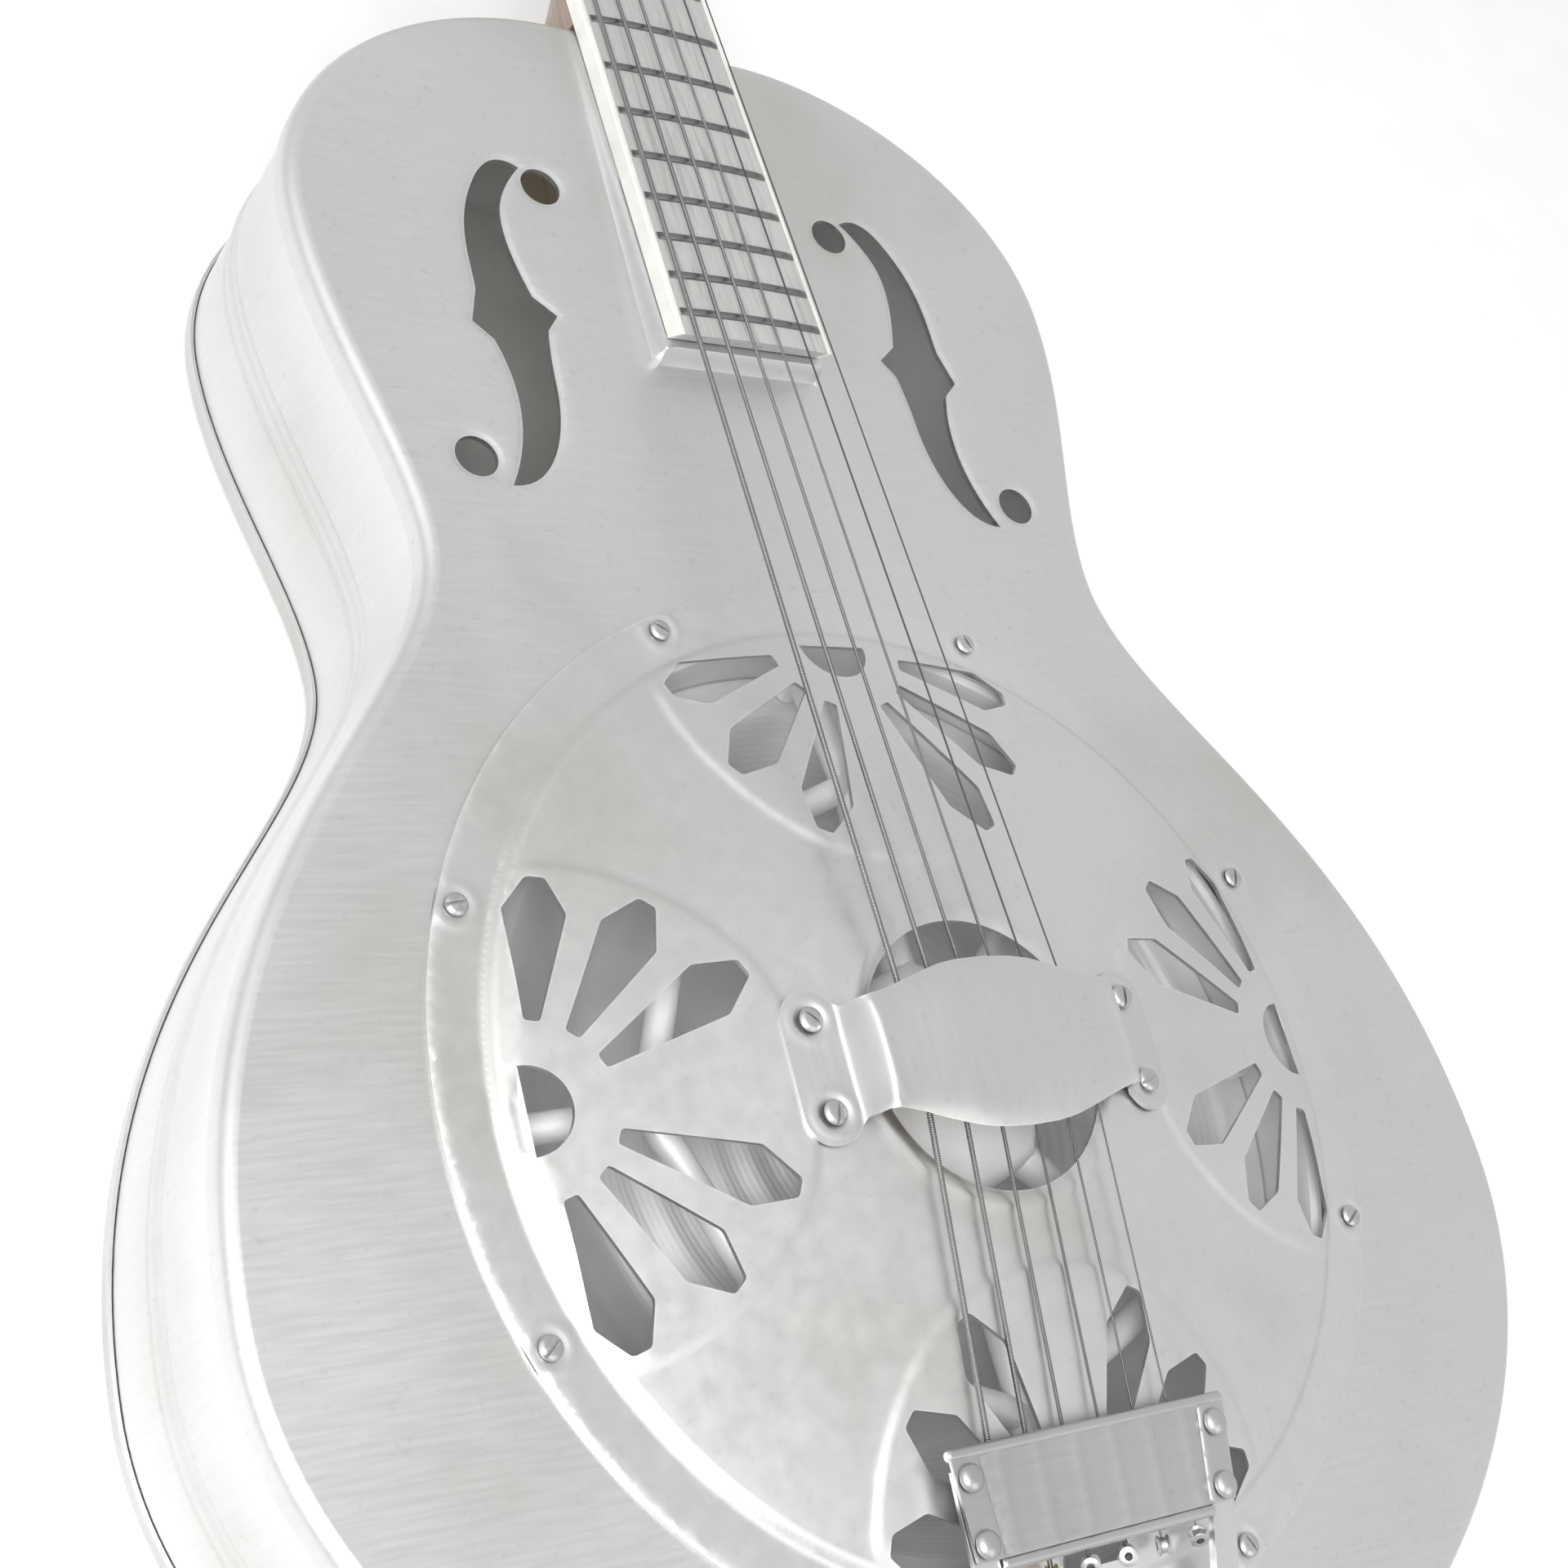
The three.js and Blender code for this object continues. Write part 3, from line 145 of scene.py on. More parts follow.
REST_SPAN, REST_Y, REST_LOBE, REST_SHEET = 48, 11, 7.4, 1.4
REST_HALF, REST_BORE = 21, 1.6
REST_CREST, REST_RISER = 36.3, 5.4
REST_TOP = TOP_FACE + 30

TAIL_FRONT, TAIL_REAR = -87.7, -110.2
TAIL_HALF_FRONT, TAIL_HALF_REAR, TAIL_HALF_ROLL = 41, 38.6, 31.5
TAIL_SHEET, TAIL_ROLL, TAIL_RIB, TAIL_BAND = 1.2, 1.4, 0.3, 8
RIVETS = [(36.6, -93), (35.6, -106.8)]
STRAP_HALF, STRAP_SHEET, STRAP_TAIL = 3.5, 1.2, 25


# ---------------------------------------------------------------- plane geometry
def circle(x, y, radius, count):
    a = np.arange(count) * 2 * math.pi / count
    return np.stack([x + radius * np.cos(a), y + radius * np.sin(a)], 1)


def bezier(points, count):
    """A quadratic or cubic curve, without its last point."""
    t = np.arange(count)[:, None] / count
    p = np.array(points, float)
    if len(p) == 2:
        return p[0] + (p[1] - p[0]) * t
    if len(p) == 3:
        return (1 - t) ** 2 * p[0] + 2 * t * (1 - t) * p[1] + t**2 * p[2]
    return (1 - t) ** 3 * p[0] + 3 * t * (1 - t) ** 2 * p[1] + 3 * t**2 * (1 - t) * p[2] + t**3 * p[3]


def body_outline(count):
    lower_span, tail_span = WAIST_Y - LOWER_Y, LOWER_Y + TAIL_REACH
    upper_span, neck_span = UPPER_Y - WAIST_Y, NECK_REACH - UPPER_Y
    low, waist, up, flat = LOWER_HALF, WAIST_HALF, UPPER_HALF, SHOULDER_HALF
    curves = [
        [(0, -TAIL_REACH), (0.507 * low, -TAIL_REACH), (low, LOWER_Y - 0.538 * tail_span), (low, LOWER_Y)],
        [(low, LOWER_Y), (low, LOWER_Y + 0.567 * lower_span),
         (waist, WAIST_Y - 0.237 * lower_span), (waist, WAIST_Y)],
        [(waist, WAIST_Y), (waist, WAIST_Y + 0.279 * upper_span),
         (up, UPPER_Y - 0.386 * upper_span), (up, UPPER_Y)],
        [(up, UPPER_Y), (up, UPPER_Y + 0.568 * neck_span),
         (flat + 0.491 * (up - flat), NECK_REACH), (flat, NECK_REACH)],
    ]
    side = np.concatenate([bezier(c, count) for c in curves] + [np.array([[flat, NECK_REACH]])])
    other = side[1:][::-1] * [-1, 1]
    return np.concatenate([side, other])


def inset(loop, distance):
    along = np.roll(loop, -1, 0) - np.roll(loop, 1, 0)
    along /= np.linalg.norm(along, axis=1)[:, None]
    return loop + distance * np.stack([-along[:, 1], along[:, 0]], 1)


def inside(points, loop):
    """True for the points that lie in a closed loop."""
    a, b = loop, np.roll(loop, -1, 0)
    found = np.zeros(len(points), bool)
    for (ax, ay), (bx, by) in zip(a, b):
        if ay != by:
            crosses = (ay > points[:, 1]) != (by > points[:, 1])
            found ^= crosses & (points[:, 0] < (bx - ax) * (points[:, 1] - ay) / (by - ay) + ax)
    return found


def within(points, loops):
    """True for the points inside the first loop and outside the others."""
    return inside(points, loops[0]) & ~np.any([inside(points, h) for h in loops[1:]] or [False], axis=0)


def distance(points, loop):
    """Distance of each point to a closed loop."""
    best = np.full(len(points), 1e9)
    for a, b in zip(loop, np.roll(loop, -1, 0)):
        d = b - a
        t = np.clip(((points - a) @ d) / max(d @ d, 1e-12), 0, 1)
        best = np.minimum(best, np.hypot(*(points - a - t[:, None] * d).T))
    return best


def smooth(value):
    v = np.clip(value, 0, 1)
    return v * v * (3 - 2 * v)


# ---------------------------------------------------------------- mesh building
ROW_SHARE = 0.866  # rows of a triangular grid lie this share of its spacing apart


def distinct(name):
    """A piece's name, told apart from the CAD node it stands for."""
    return name + "_finish" if name in bpy.data.objects else name


def loose(part, name="loose"):
    """An object of a part's points, in millimetres, and faces."""
    verts, faces = part
    mesh = bpy.data.meshes.new(name)
    mesh.from_pydata([tuple(p) for p in np.asarray(verts, float) * MM], [], [tuple(f) for f in faces])
    mesh.validate()
    face_outward(mesh)
    piece = bpy.data.objects.new(name, mesh)
    bpy.context.scene.collection.objects.link(piece)
    return piece


def face_outward(mesh):
    bm = bmesh.new()
    bm.from_mesh(mesh)
    bmesh.ops.recalc_face_normals(bm, faces=bm.faces)
    bm.to_mesh(mesh)
    bm.free()


def make(name, part, material, slot, node=None, **options):
    """One piece that rides on a body and stands for a CAD node, by default the one of its own name."""
    return finished(loose(part, distinct(name)), material, slot, node or name, **options)


def finished(piece, material, slot, node, body="root", angle=35, bevel=0):
    mesh = piece.data
    face_outward(mesh)
    mesh.shade_smooth()
    mesh.set_sharp_from_angle(angle=math.radians(angle))
    mesh.materials.clear()
    mesh.materials.append(material)
    if bevel:
        m = piece.modifiers.new("edges", "BEVEL")
        m.width, m.segments, m.limit_method = bevel * MM, 2, "ANGLE"
        m.angle_limit = math.radians(angle)
        m.harden_normals = True
    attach(piece, body)
    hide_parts(node)
    return piece


def skin(rings, caps=True):
    """Points and faces over closed rings of equal count, with both ends closed by a cap."""
    count = len(rings[0])
    verts = np.concatenate([np.asarray(r, float) for r in rings])
    faces = []
    for i in range(len(rings) - 1):
        for j in range(count):
            k = (j + 1) % count
            faces.append((i * count + j, i * count + k, (i + 1) * count + k, (i + 1) * count + j))
    if caps:
        faces.append(tuple(range(count))[::-1])
        faces.append(tuple(range((len(rings) - 1) * count, len(rings) * count)))
    return verts, faces


def tube_skin(rings):
    """Rings joined into a torus: the last ring meets the first."""
    verts, faces = skin(rings, caps=False)
    count = len(rings[0])
    last = (len(rings) - 1) * count
    faces += [(last + j, last + (j + 1) % count, (j + 1) % count, j) for j in range(count)]
    return verts, faces


def join(parts):
    verts, faces, base = [], [], 0
    for v, f in parts:
        verts.append(np.asarray(v, float))
        faces += [tuple(i + base for i in face) for face in f]
        base += len(v)
    return np.concatenate(verts), faces


def lathe(profile, count):
    """A profile of (radius, height) turned about Z. Ends on the axis are closed by a point."""
    rings, ends = [], []
    for r, z in profile:
        if r > 1e-6:
            a = np.arange(count) * 2 * math.pi / count
            rings.append(np.stack([r * np.cos(a), r * np.sin(a), np.full(count, z)], 1))
        else:
            ends.append((len(rings), z))
    if not ends:
        return tube_skin(rings)
    verts, faces = skin(rings, caps=False)
    for place, z in ends:
        tip = len(verts)
        verts = np.concatenate([verts, [[0, 0, z]]])
        ring = 0 if place == 0 else (len(rings) - 1) * count
        faces += [(ring + j, ring + (j + 1) % count, tip) for j in range(count)]
    return verts, faces


def sweep(path, radius, sides):
    """A round tube along a path; radius may be one number or one for each point."""
    p = np.asarray(path, float)
    radii = np.broadcast_to(radius, len(p))
    tangent = np.gradient(p, axis=0)
    tangent /= np.linalg.norm(tangent, axis=1)[:, None]
    normal = np.cross(tangent[0], [0, 0, 1] if abs(tangent[0][2]) < 0.9 else [1, 0, 0])
    rings = []
    for point, t, r in zip(p, tangent, radii):
        normal = normal - t * (normal @ t)
        normal /= np.linalg.norm(normal)
        other = np.cross(t, normal)
        a = np.arange(sides)[:, None] * 2 * math.pi / sides
        rings.append(point + r * (np.cos(a) * normal + np.sin(a) * other))
    return skin(rings)


def moved(part, turn=(0, 0, 0), shift=(0, 0, 0)):
    about_x, about_y, about_z = (Matrix.Rotation(a, 4, axis) for a, axis in zip(turn, "XYZ"))
    return through(part, Matrix.Translation(shift) @ about_z @ about_y @ about_x)


def through(part, matrix):
    m = np.array(matrix)
    return np.asarray(part[0]) @ m[:3, :3].T + m[:3, 3], part[1]


def pressed(outer, holes, spacing, height, thick, near=(0.5, 1.1), extra=None, along_normal=False):
    """A sheet of metal: a plane region with holes, lifted to height(points) and given a thickness."""
    loops = [np.asarray(outer, float)] + [np.asarray(h, float) for h in holes]
    low, high = loops[0].min(0), loops[0].max(0)
    xs = np.arange(low[0], high[0], spacing)
    ys = np.arange(low[1], high[1], spacing * ROW_SHARE)
    grid = np.array([(x + (i % 2) * spacing / 2, y) for i, y in enumerate(ys) for x in xs])
    if extra is not None:
        known = Near(spacing * 0.6, extra)
        grid = np.concatenate([extra, grid[[known.clear(p) for p in grid]]])
    rings = [inset(loops[0], d) for d in near] + [inset(h, -d) for h in loops[1:] for d in near]
    grid = np.concatenate(rings + [grid])
    grid = grid[within(grid, loops)]
    for loop in loops:
        grid = grid[distance(grid, loop) > (near[0] * 0.7 if near else spacing * 0.4)]
    points = [Vector(p) for loop in loops for p in loop] + [Vector(p) for p in grid]
    edges, base = [], 0
    for loop in loops:
        edges += [(base + i, base + (i + 1) % len(loop)) for i in range(len(loop))]
        base += len(loop)
    flat, _, tris, _, _, _ = delaunay_2d_cdt(points, edges, [], 0, 1e-4)
    flat = np.array([tuple(p) for p in flat])
    tris = np.array([t for t in tris if len(t) == 3])
    tris = tris[within(flat[tris].mean(1), loops)]
    used, index = np.unique(tris, return_inverse=True)
    flat, tris = flat[used], index.reshape(-1, 3)
    upper = np.column_stack([flat, height(flat)])
    if along_normal:
        a, b, c = upper[tris[:, 0]], upper[tris[:, 1]], upper[tris[:, 2]]
        face = np.cross(b - a, c - a)
        face *= np.sign(face[:, 2:3])
        normals = np.zeros_like(upper)
        for k in range(3):
            np.add.at(normals, tris[:, k], face)
        normals /= np.linalg.norm(normals, axis=1)[:, None]
        lower = upper - thick * normals
    else:
        lower = upper - [0, 0, thick]
    return close_sheet(upper, lower, tris)


class Near:
    """Points sorted into square cells, to ask whether a place is clear of them all."""

    def __init__(self, limit, points=()):
        self.limit, self.cells = limit, {}
        for p in points:
            self.add(p)

    def cell(self, p):
        return int(p[0] // self.limit), int(p[1] // self.limit)

    def add(self, p):
        self.cells.setdefault(self.cell(p), []).append(p)

    def clear(self, p):
        x, y = self.cell(p)
        around = [q for dx in (-1, 0, 1) for dy in (-1, 0, 1) for q in self.cells.get((x + dx, y + dy), ())]
        return all((p[0] - q[0]) ** 2 + (p[1] - q[1]) ** 2 > self.limit**2 for q in around)


def thin_out(points, limit):
    """The points, less those that lie within limit of an earlier one."""
    near, kept = Near(limit), []
    for p in points:
        if near.clear(p):
            near.add(p)
            kept.append(p)
    return np.array(kept)


def close_sheet(upper, lower, tris):
    """Two skins with the same triangles and a wall round every open edge."""
    count = len(upper)
    area = np.cross(upper[tris[:, 1]] - upper[tris[:, 0]], upper[tris[:, 2]] - upper[tris[:, 0]])[:, 2]
    tris = np.where(area[:, None] < 0, tris[:, ::-1], tris)
    edges = {}
    for t in tris:
        for a, b in ((t[0], t[1]), (t[1], t[2]), (t[2], t[0])):
            edges[(a, b)] = True
    walls = [(b, a, a + count, b + count) for a, b in edges if (b, a) not in edges]
    faces = [tuple(t) for t in tris] + [tuple(t[::-1] + count) for t in tris] + walls
    return np.concatenate([upper, lower]), faces


def lined(piece, material, test):
    """A second material on the faces that test(middles, normals) picks, in millimetres."""
    mesh = piece.data
    mesh.materials.append(material)
    middles = np.array([tuple(f.center) for f in mesh.polygons]) / MM
    normals = np.array([tuple(f.normal) for f in mesh.polygons])
    for face, chosen in zip(mesh.polygons, test(middles, normals)):
        face.material_index = 1 if chosen else 0


def boolean(piece, cutter, operation):
    m = piece.modifiers.new("cut", "BOOLEAN")
    m.object, m.operation, m.solver = cutter, operation, "EXACT"
    bpy.context.view_layer.update()
    evaluated = piece.evaluated_get(bpy.context.evaluated_depsgraph_get())
    mesh = bpy.data.meshes.new_from_object(evaluated)
    piece.modifiers.clear()
    piece.data = mesh
    bpy.data.objects.remove(cutter)


def fused(name, add, cut, material, slot, node=None, **options):
    """Closed parts joined into one skin, less the cutting parts."""
    piece = loose(add[0])
    for part in add[1:]:
        boolean(piece, loose(part), "UNION")
    for part in cut:
        boolean(piece, loose(part), "DIFFERENCE")
    piece.name = piece.data.name = distinct(name)
    return finished(piece, material, slot, node or name, **options)


def block(low, high):
    (a, b, c), (d, e, f) = low, high
    ring = [(a, b), (d, b), (d, e), (a, e)]
    return skin([[(x, y, z) for x, y in ring] for z in (c, f)])


def rod(radius, start, end):
    return sweep([start, end], radius, 24)


# ---------------------------------------------------------------- materials
class Shader:
    """A principled material with a few helpers for its nodes."""

    def __init__(self, name, color, roughness, metallic, **sockets):
        self.material = bpy.data.materials.new(name)
        self.material.use_nodes = True
        self.tree = self.material.node_tree
        self.shader = self.tree.nodes["Principled BSDF"]
        self.shader.inputs["Base Color"].default_value = (*color, 1)
        self.shader.inputs["Roughness"].default_value = roughness
        self.shader.inputs["Metallic"].default_value = metallic
        for key, value in sockets.items():
            self.shader.inputs[key.replace("_", " ")].default_value = value
        self.place = self.node("ShaderNodeTexCoord").outputs["Object"]

    def node(self, kind, **values):
        made = self.tree.nodes.new(kind)
        for key, value in values.items():
            setattr(made, key, value)
        return made

    def link(self, source, target):
        self.tree.links.new(source, target)

    def mapped(self, scale):
        mapping = self.node("ShaderNodeMapping")
        mapping.inputs["Scale"].default_value = scale
        self.link(self.place, mapping.inputs["Vector"])
        return mapping.outputs["Vector"]

    def noise(self, scale, detail=4, vector=None, distortion=0):
        made = self.node("ShaderNodeTexNoise")
        made.inputs["Scale"].default_value = scale
        made.inputs["Detail"].default_value = detail
        made.inputs["Distortion"].default_value = distortion
        self.link(self.place if vector is None else vector, made.inputs["Vector"])
        return made.outputs["Fac"]

    def ramp(self, factor, stops):
        made = self.node("ShaderNodeValToRGB")
        elements = made.color_ramp.elements
        while len(elements) < len(stops):
            elements.new(0.5)
        for element, (at, color) in zip(elements, stops):
            element.position = at
            element.color = (*color, 1)
        self.link(factor, made.inputs["Fac"])
        return made.outputs["Color"]

    def between(self, factor, low, high, start=0.0, end=1.0):
        made = self.node("ShaderNodeMapRange")
        for key, value in (("From Min", start), ("From Max", end), ("To Min", low), ("To Max", high)):
            made.inputs[key].default_value = value
        self.link(factor, made.inputs["Value"])
        return made.outputs["Result"]

    def mix(self, factor, a, b, mode="MIX"):
        made = self.node("ShaderNodeMix", data_type="RGBA", blend_type=mode)
        for socket, value in (("Factor", factor), ("A", a), ("B", b)):
            index = {"Factor": 0, "A": 6, "B": 7}[socket]
            if isinstance(value, (int, float)):
                made.inputs[index].default_value = value
            elif isinstance(value, tuple):
                made.inputs[index].default_value = (*value, 1)
            else:
                self.link(value, made.inputs[index])
        return made.outputs[2]

    def bump(self, factor, depth, strength=1.0, below=None):
        made = self.node("ShaderNodeBump")
        made.inputs["Distance"].default_value = depth
        made.inputs["Strength"].default_value = strength
        self.link(factor, made.inputs["Height"])
        if below is not None:
            self.link(below, made.inputs["Normal"])
        return made.outputs["Normal"]

    def set(self, socket, output):
        self.link(output, self.shader.inputs[socket])

    def coated(self, base, factor, low, high, *bumps):
        """The material with its colour, a roughness from low to high, and its bumps, finest first."""
        self.set("Base Color", base)
        self.set("Roughness", self.between(factor, low, high, 0.3, 0.7))
        normal = None
        for height, depth, strength in reversed(bumps):
            normal = self.bump(height, depth, strength, normal)
        self.set("Normal", normal)
        return self.material

    def wear(self):
        """Near 1 along convex edges."""
        return self.between(self.node("ShaderNodeNewGeometry").outputs["Pointiness"], 0, 1, 0.52, 0.6)


def shade(color, share):
    return tuple(min(1, c * share) for c in color)


def plated(name, color, roughness, grain, spread=0.06, **sockets):
    """Plated sheet metal: cloudy tarnish, fine brushing along grain, worn edges and tiny pits."""
    s = Shader(name, color, roughness, 1, **sockets)
    clouds = s.noise(9, 5, distortion=0.4)
    specks = s.noise(420, 3)
    brushed = s.noise(60, 4, s.mapped(grain))
    warm = (color[0] * 0.9, color[1] * 0.885, color[2] * 0.85)
    base = s.ramp(clouds, [(0.34, warm), (0.5, color), (0.72, shade(color, 1.05))])
    base = s.mix(s.between(specks, 0, 0.35, 0.62, 0.72), base, shade(color, 0.8))
    base = s.mix(s.wear(), base, shade(color, 1.12))
    return s.coated(base, brushed, roughness - spread, roughness + spread,
                    (specks, 0.00002, 0.4), (brushed, 0.00004, 0.35))


def turned(name, color, roughness, pitch, metallic=1.0):
    """Metal turned or spun about Z: fine rings and a cloudy oxide."""
    s = Shader(name, color, roughness, metallic)
    wave = s.node("ShaderNodeTexWave", wave_type="RINGS", rings_direction="Z", wave_profile="SIN")
    wave.inputs["Scale"].default_value = 0.3 / pitch
    wave.inputs["Distortion"].default_value = 0.6
    wave.inputs["Detail"].default_value = 2
    s.link(s.place, wave.inputs["Vector"])
    rings = wave.outputs["Fac"]
    clouds = s.noise(30, 5)
    base = s.ramp(clouds, [(0.3, shade(color, 0.86)), (0.6, color), (0.8, shade(color, 1.06))])
    base = s.mix(s.between(rings, 0, 0.15), base, shade(color, 0.8))
    return s.coated(base, clouds, roughness - 0.05, roughness + 0.08,
                    (rings, 0.00006, 0.5), (clouds, 0.00008, 0.3))


def cast(name, color, roughness, metallic=1.0):
    """Sand-cast metal: a fine pebbled surface, brighter on its edges."""
    s = Shader(name, color, roughness, metallic)
    pebbles, clouds = s.noise(900, 3), s.noise(45, 4)
    base = s.ramp(clouds, [(0.3, shade(color, 0.85)), (0.65, color)])
    base = s.mix(s.wear(), base, shade(color, 1.1))
    return s.coated(base, pebbles, roughness - 0.06, roughness + 0.08,
                    (pebbles, 0.00012, 0.5), (clouds, 0.0002, 0.3))


def wood(name, dark, light, roughness, ring, coat, pores=0.3):
    """Straight grain along Y with rings ring metres apart, pores and a lacquer coat."""
    s = Shader(name, light, roughness, 0, Coat_Weight=coat, Coat_Roughness=0.25)
    streaks = s.noise(1 / ring, 6, s.mapped((1, 0.025, 1)), 0.8)
    fine = s.noise(8 / ring, 3, s.mapped((1, 0.03, 1)))
    base = s.ramp(streaks, [(0.3, dark), (0.5, light), (0.62, shade(light, 0.9)), (0.8, shade(dark, 1.1))])
    base = s.mix(s.between(fine, 0, pores, 0.58, 0.72), base, shade(dark, 0.6))
    return s.coated(base, fine, roughness - 0.06, roughness + 0.1,
                    (fine, 0.00006, 0.5), (streaks, 0.00008, 0.3))


def polished(name, color, roughness):
    """Bone-like plastic with faint clouds, streaks and fine scuffs."""
    s = Shader(name, color, roughness, 0, Subsurface_Weight=0.05, Coat_Weight=0.3)
    clouds, scuffs = s.noise(60, 5, distortion=0.6), s.noise(700, 3, s.mapped((1, 0.2, 1)))
    base = s.ramp(clouds, [(0.3, shade(color, 0.86)), (0.6, color), (0.8, shade(color, 1.06))])
    return s.coated(base, scuffs, roughness - 0.06, roughness + 0.1, (scuffs, 0.00003, 0.5))


def painted(name, color, roughness):
    """A thin grey wash with an orange-peel surface and faint stains."""
    s = Shader(name, color, roughness, 0.15)
    peel, stains = s.noise(260, 3), s.noise(14, 5, distortion=0.5)
    base = s.ramp(stains, [(0.3, shade(color, 0.88)), (0.55, color), (0.8, shade(color, 1.05))])
    return s.coated(base, peel, roughness - 0.08, roughness + 0.08, (peel, 0.00008, 0.5))


def wound(name, color, pitch):
    """A wrapped string: ridges along Y at the wrap's pitch, with painted shade darkening the grooves between
    wraps.
    """
    s = Shader(name, color, 0.36, 1)
    wave = s.node("ShaderNodeTexWave", wave_type="BANDS", bands_direction="Y", wave_profile="SIN")
    wave.inputs["Scale"].default_value = 0.314 / pitch
    s.link(s.place, wave.inputs["Vector"])
    clouds = s.noise(120, 3)
    ridges = wave.outputs["Fac"]
    base = s.ramp(clouds, [(0.3, shade(color, 0.85)), (0.7, color)])
    # painted shade: the base colour darkens towards 45% in the grooves between wraps, where the ridges wave
    # is low
    s.set("Base Color", s.mix(s.between(ridges, 0.45, 0), base, shade(color, 0.45)))
    s.set("Roughness", s.between(clouds, 0.3, 0.42))
    s.set("Normal", s.bump(ridges, 0.00012, 0.8))
    return s.material


NICKEL = plated("satin_nickel", (0.64, 0.64, 0.642), 0.47, (1, 14, 1))
BACK_NICKEL = plated("satin_nickel_back", (0.6, 0.6, 0.6), 0.47, (14, 1, 1))
COVER = plated("cover_nickel", (0.66, 0.66, 0.662), 0.43, (3, 3, 3))
BRIGHT = plated("bright_nickel", (0.62, 0.62, 0.622), 0.42, (10, 1, 1), 0.05)
TAIL = plated("tailpiece_nickel", (0.5, 0.5, 0.502), 0.4, (1, 12, 1), 0.05)
LINING = painted("body_lining", (0.9, 0.9, 0.895), 0.6)
STEEL = plated("screw_steel", (0.5, 0.5, 0.51), 0.34, (1, 1, 8), 0.06)
WELL = turned("well_steel", (0.8, 0.8, 0.805), 0.55, 0.0016, 0.35)
CONE = turned("spun_aluminium", (0.82, 0.82, 0.83), 0.5, 0.0012, 0.35)
SPIDER = cast("cast_aluminium", (0.95, 0.95, 0.95), 0.5, 0.25)
MAPLE = wood("maple", (0.5, 0.4, 0.27), (0.68, 0.58, 0.42), 0.5, 0.006, 0.1, 0.15)
MAHOGANY = wood("mahogany", (0.15, 0.095, 0.068), (0.27, 0.185, 0.135), 0.42, 0.004, 0.5, 0.45)
EBONY = wood("fretboard_wood", (0.34, 0.335, 0.325), (0.47, 0.465, 0.455), 0.5, 0.002, 0.1, 0.4)
BONE = polished("bone", (0.78, 0.74, 0.64), 0.32)
BINDING = polished("binding", (0.84, 0.82, 0.77), 0.35)
GUN = plated("tuner_steel", (0.6, 0.6, 0.6), 0.34, (1, 12, 1))
BRASS = plated("brass", (0.66, 0.52, 0.28), 0.34, (8, 1, 1))
PLAIN = plated("plain_string", (0.12, 0.12, 0.125), 0.32, (1, 20, 1), 0.04)
FRET = plated("fret_wire", (0.2, 0.2, 0.205), 0.34, (12, 1, 1), 0.05)
BLACK = wood("end_pin_wood", (0.05, 0.045, 0.04), (0.09, 0.08, 0.075), 0.35, 0.002, 0.4)


# ---------------------------------------------------------------- body
OUTLINE = body_outline(56)


def level(away, z):
    loop = inset(OUTLINE, away)
    return np.column_stack([loop, np.full(len(loop), z)])


def board_half(y):
    return BOARD_JOINT_HALF - (BOARD_JOINT_HALF - NUT_HALF) * y / NUT_Y


def board_surface(y):
    return BOARD_Z + (NECK_REACH - y) * math.tan(NECK_ANGLE)


LEDGE_FRONT = NECK_REACH + BOARD_END - 2
LEDGE_HALF = board_half(BOARD_END) + 2.6
LEDGE_FILLET = 2.4


def ledge_height(p):
    """The seat of the fretboard, pressed up out of the top with a small fillet."""
    seat = board_surface(p[:, 1]) - BOARD_THICK / math.cos(NECK_ANGLE) - GAP - TOP_FACE
    out = np.maximum(np.abs(p[:, 0]) - LEDGE_HALF, LEDGE_FRONT - p[:, 1]) + LEDGE_FILLET
    return np.maximum(seat, 0) * smooth(1 - out / LEDGE_FILLET)


def sound_slot():
    """One f-hole about its middle, from lines and curves with 2, 3 or 4 points."""
    points = [
        [(-12.6, 51.5), (-3.6, 57), (3.4, 43.5)],
        [(3.4, 43.5), (11.4, 29), (9.4, 17), (10, 8)],
        [(10, 8), (13.2, -2.4)],
        [(13.2, -2.4), (8, -7.5)],
        [(8, -7.5), (4.4, -18), (2.4, -34), (12.7, -52)],
        [(12.7, -52), (-0.6, -52), (-6.6, -34), (-7.2, -21)],
        [(-7.2, -21), (-7.6, -11), (-8.2, -7), (-9, -2.6)],
        [(-9, -2.6), (-12.9, 2.6)],
        [(-12.9, 2.6), (-6.6, 8)],
        [(-6.6, 8), (-2.6, 21), (-1.6, 31), (-4, 38)],
        [(-4, 38), (-6.6, 45), (-12.6, 51.5)],
    ]
    return np.concatenate([bezier(p, {2: 4, 3: 10, 4: 16}[len(p)]) for p in points])


def turned_ccw(loop):
    x, y = loop[:, 0], loop[:, 1]
    area = np.sum(x * np.roll(y, -1) - np.roll(x, -1) * y)
    return loop if area > 0 else loop[::-1]


def f_holes():
    loops = [sound_slot(), circle(*UPPER_EYELET, EYELET_RADIUS, 36), circle(*LOWER_EYELET, EYELET_RADIUS, 36)]
    treble = [turned_ccw(loop + HOLE_MIDDLE) for loop in loops]
    return treble + [turned_ccw(loop * [-1, 1]) for loop in treble]


def ring_places():
    angles = [math.radians(axis + side * SCREW_ANGLE) for axis in (0, 90, 180, 270) for side in (-1, 1)]
    return [(SCREW_CIRCLE * math.cos(a), SCREW_CIRCLE * math.sin(a)) for a in angles]


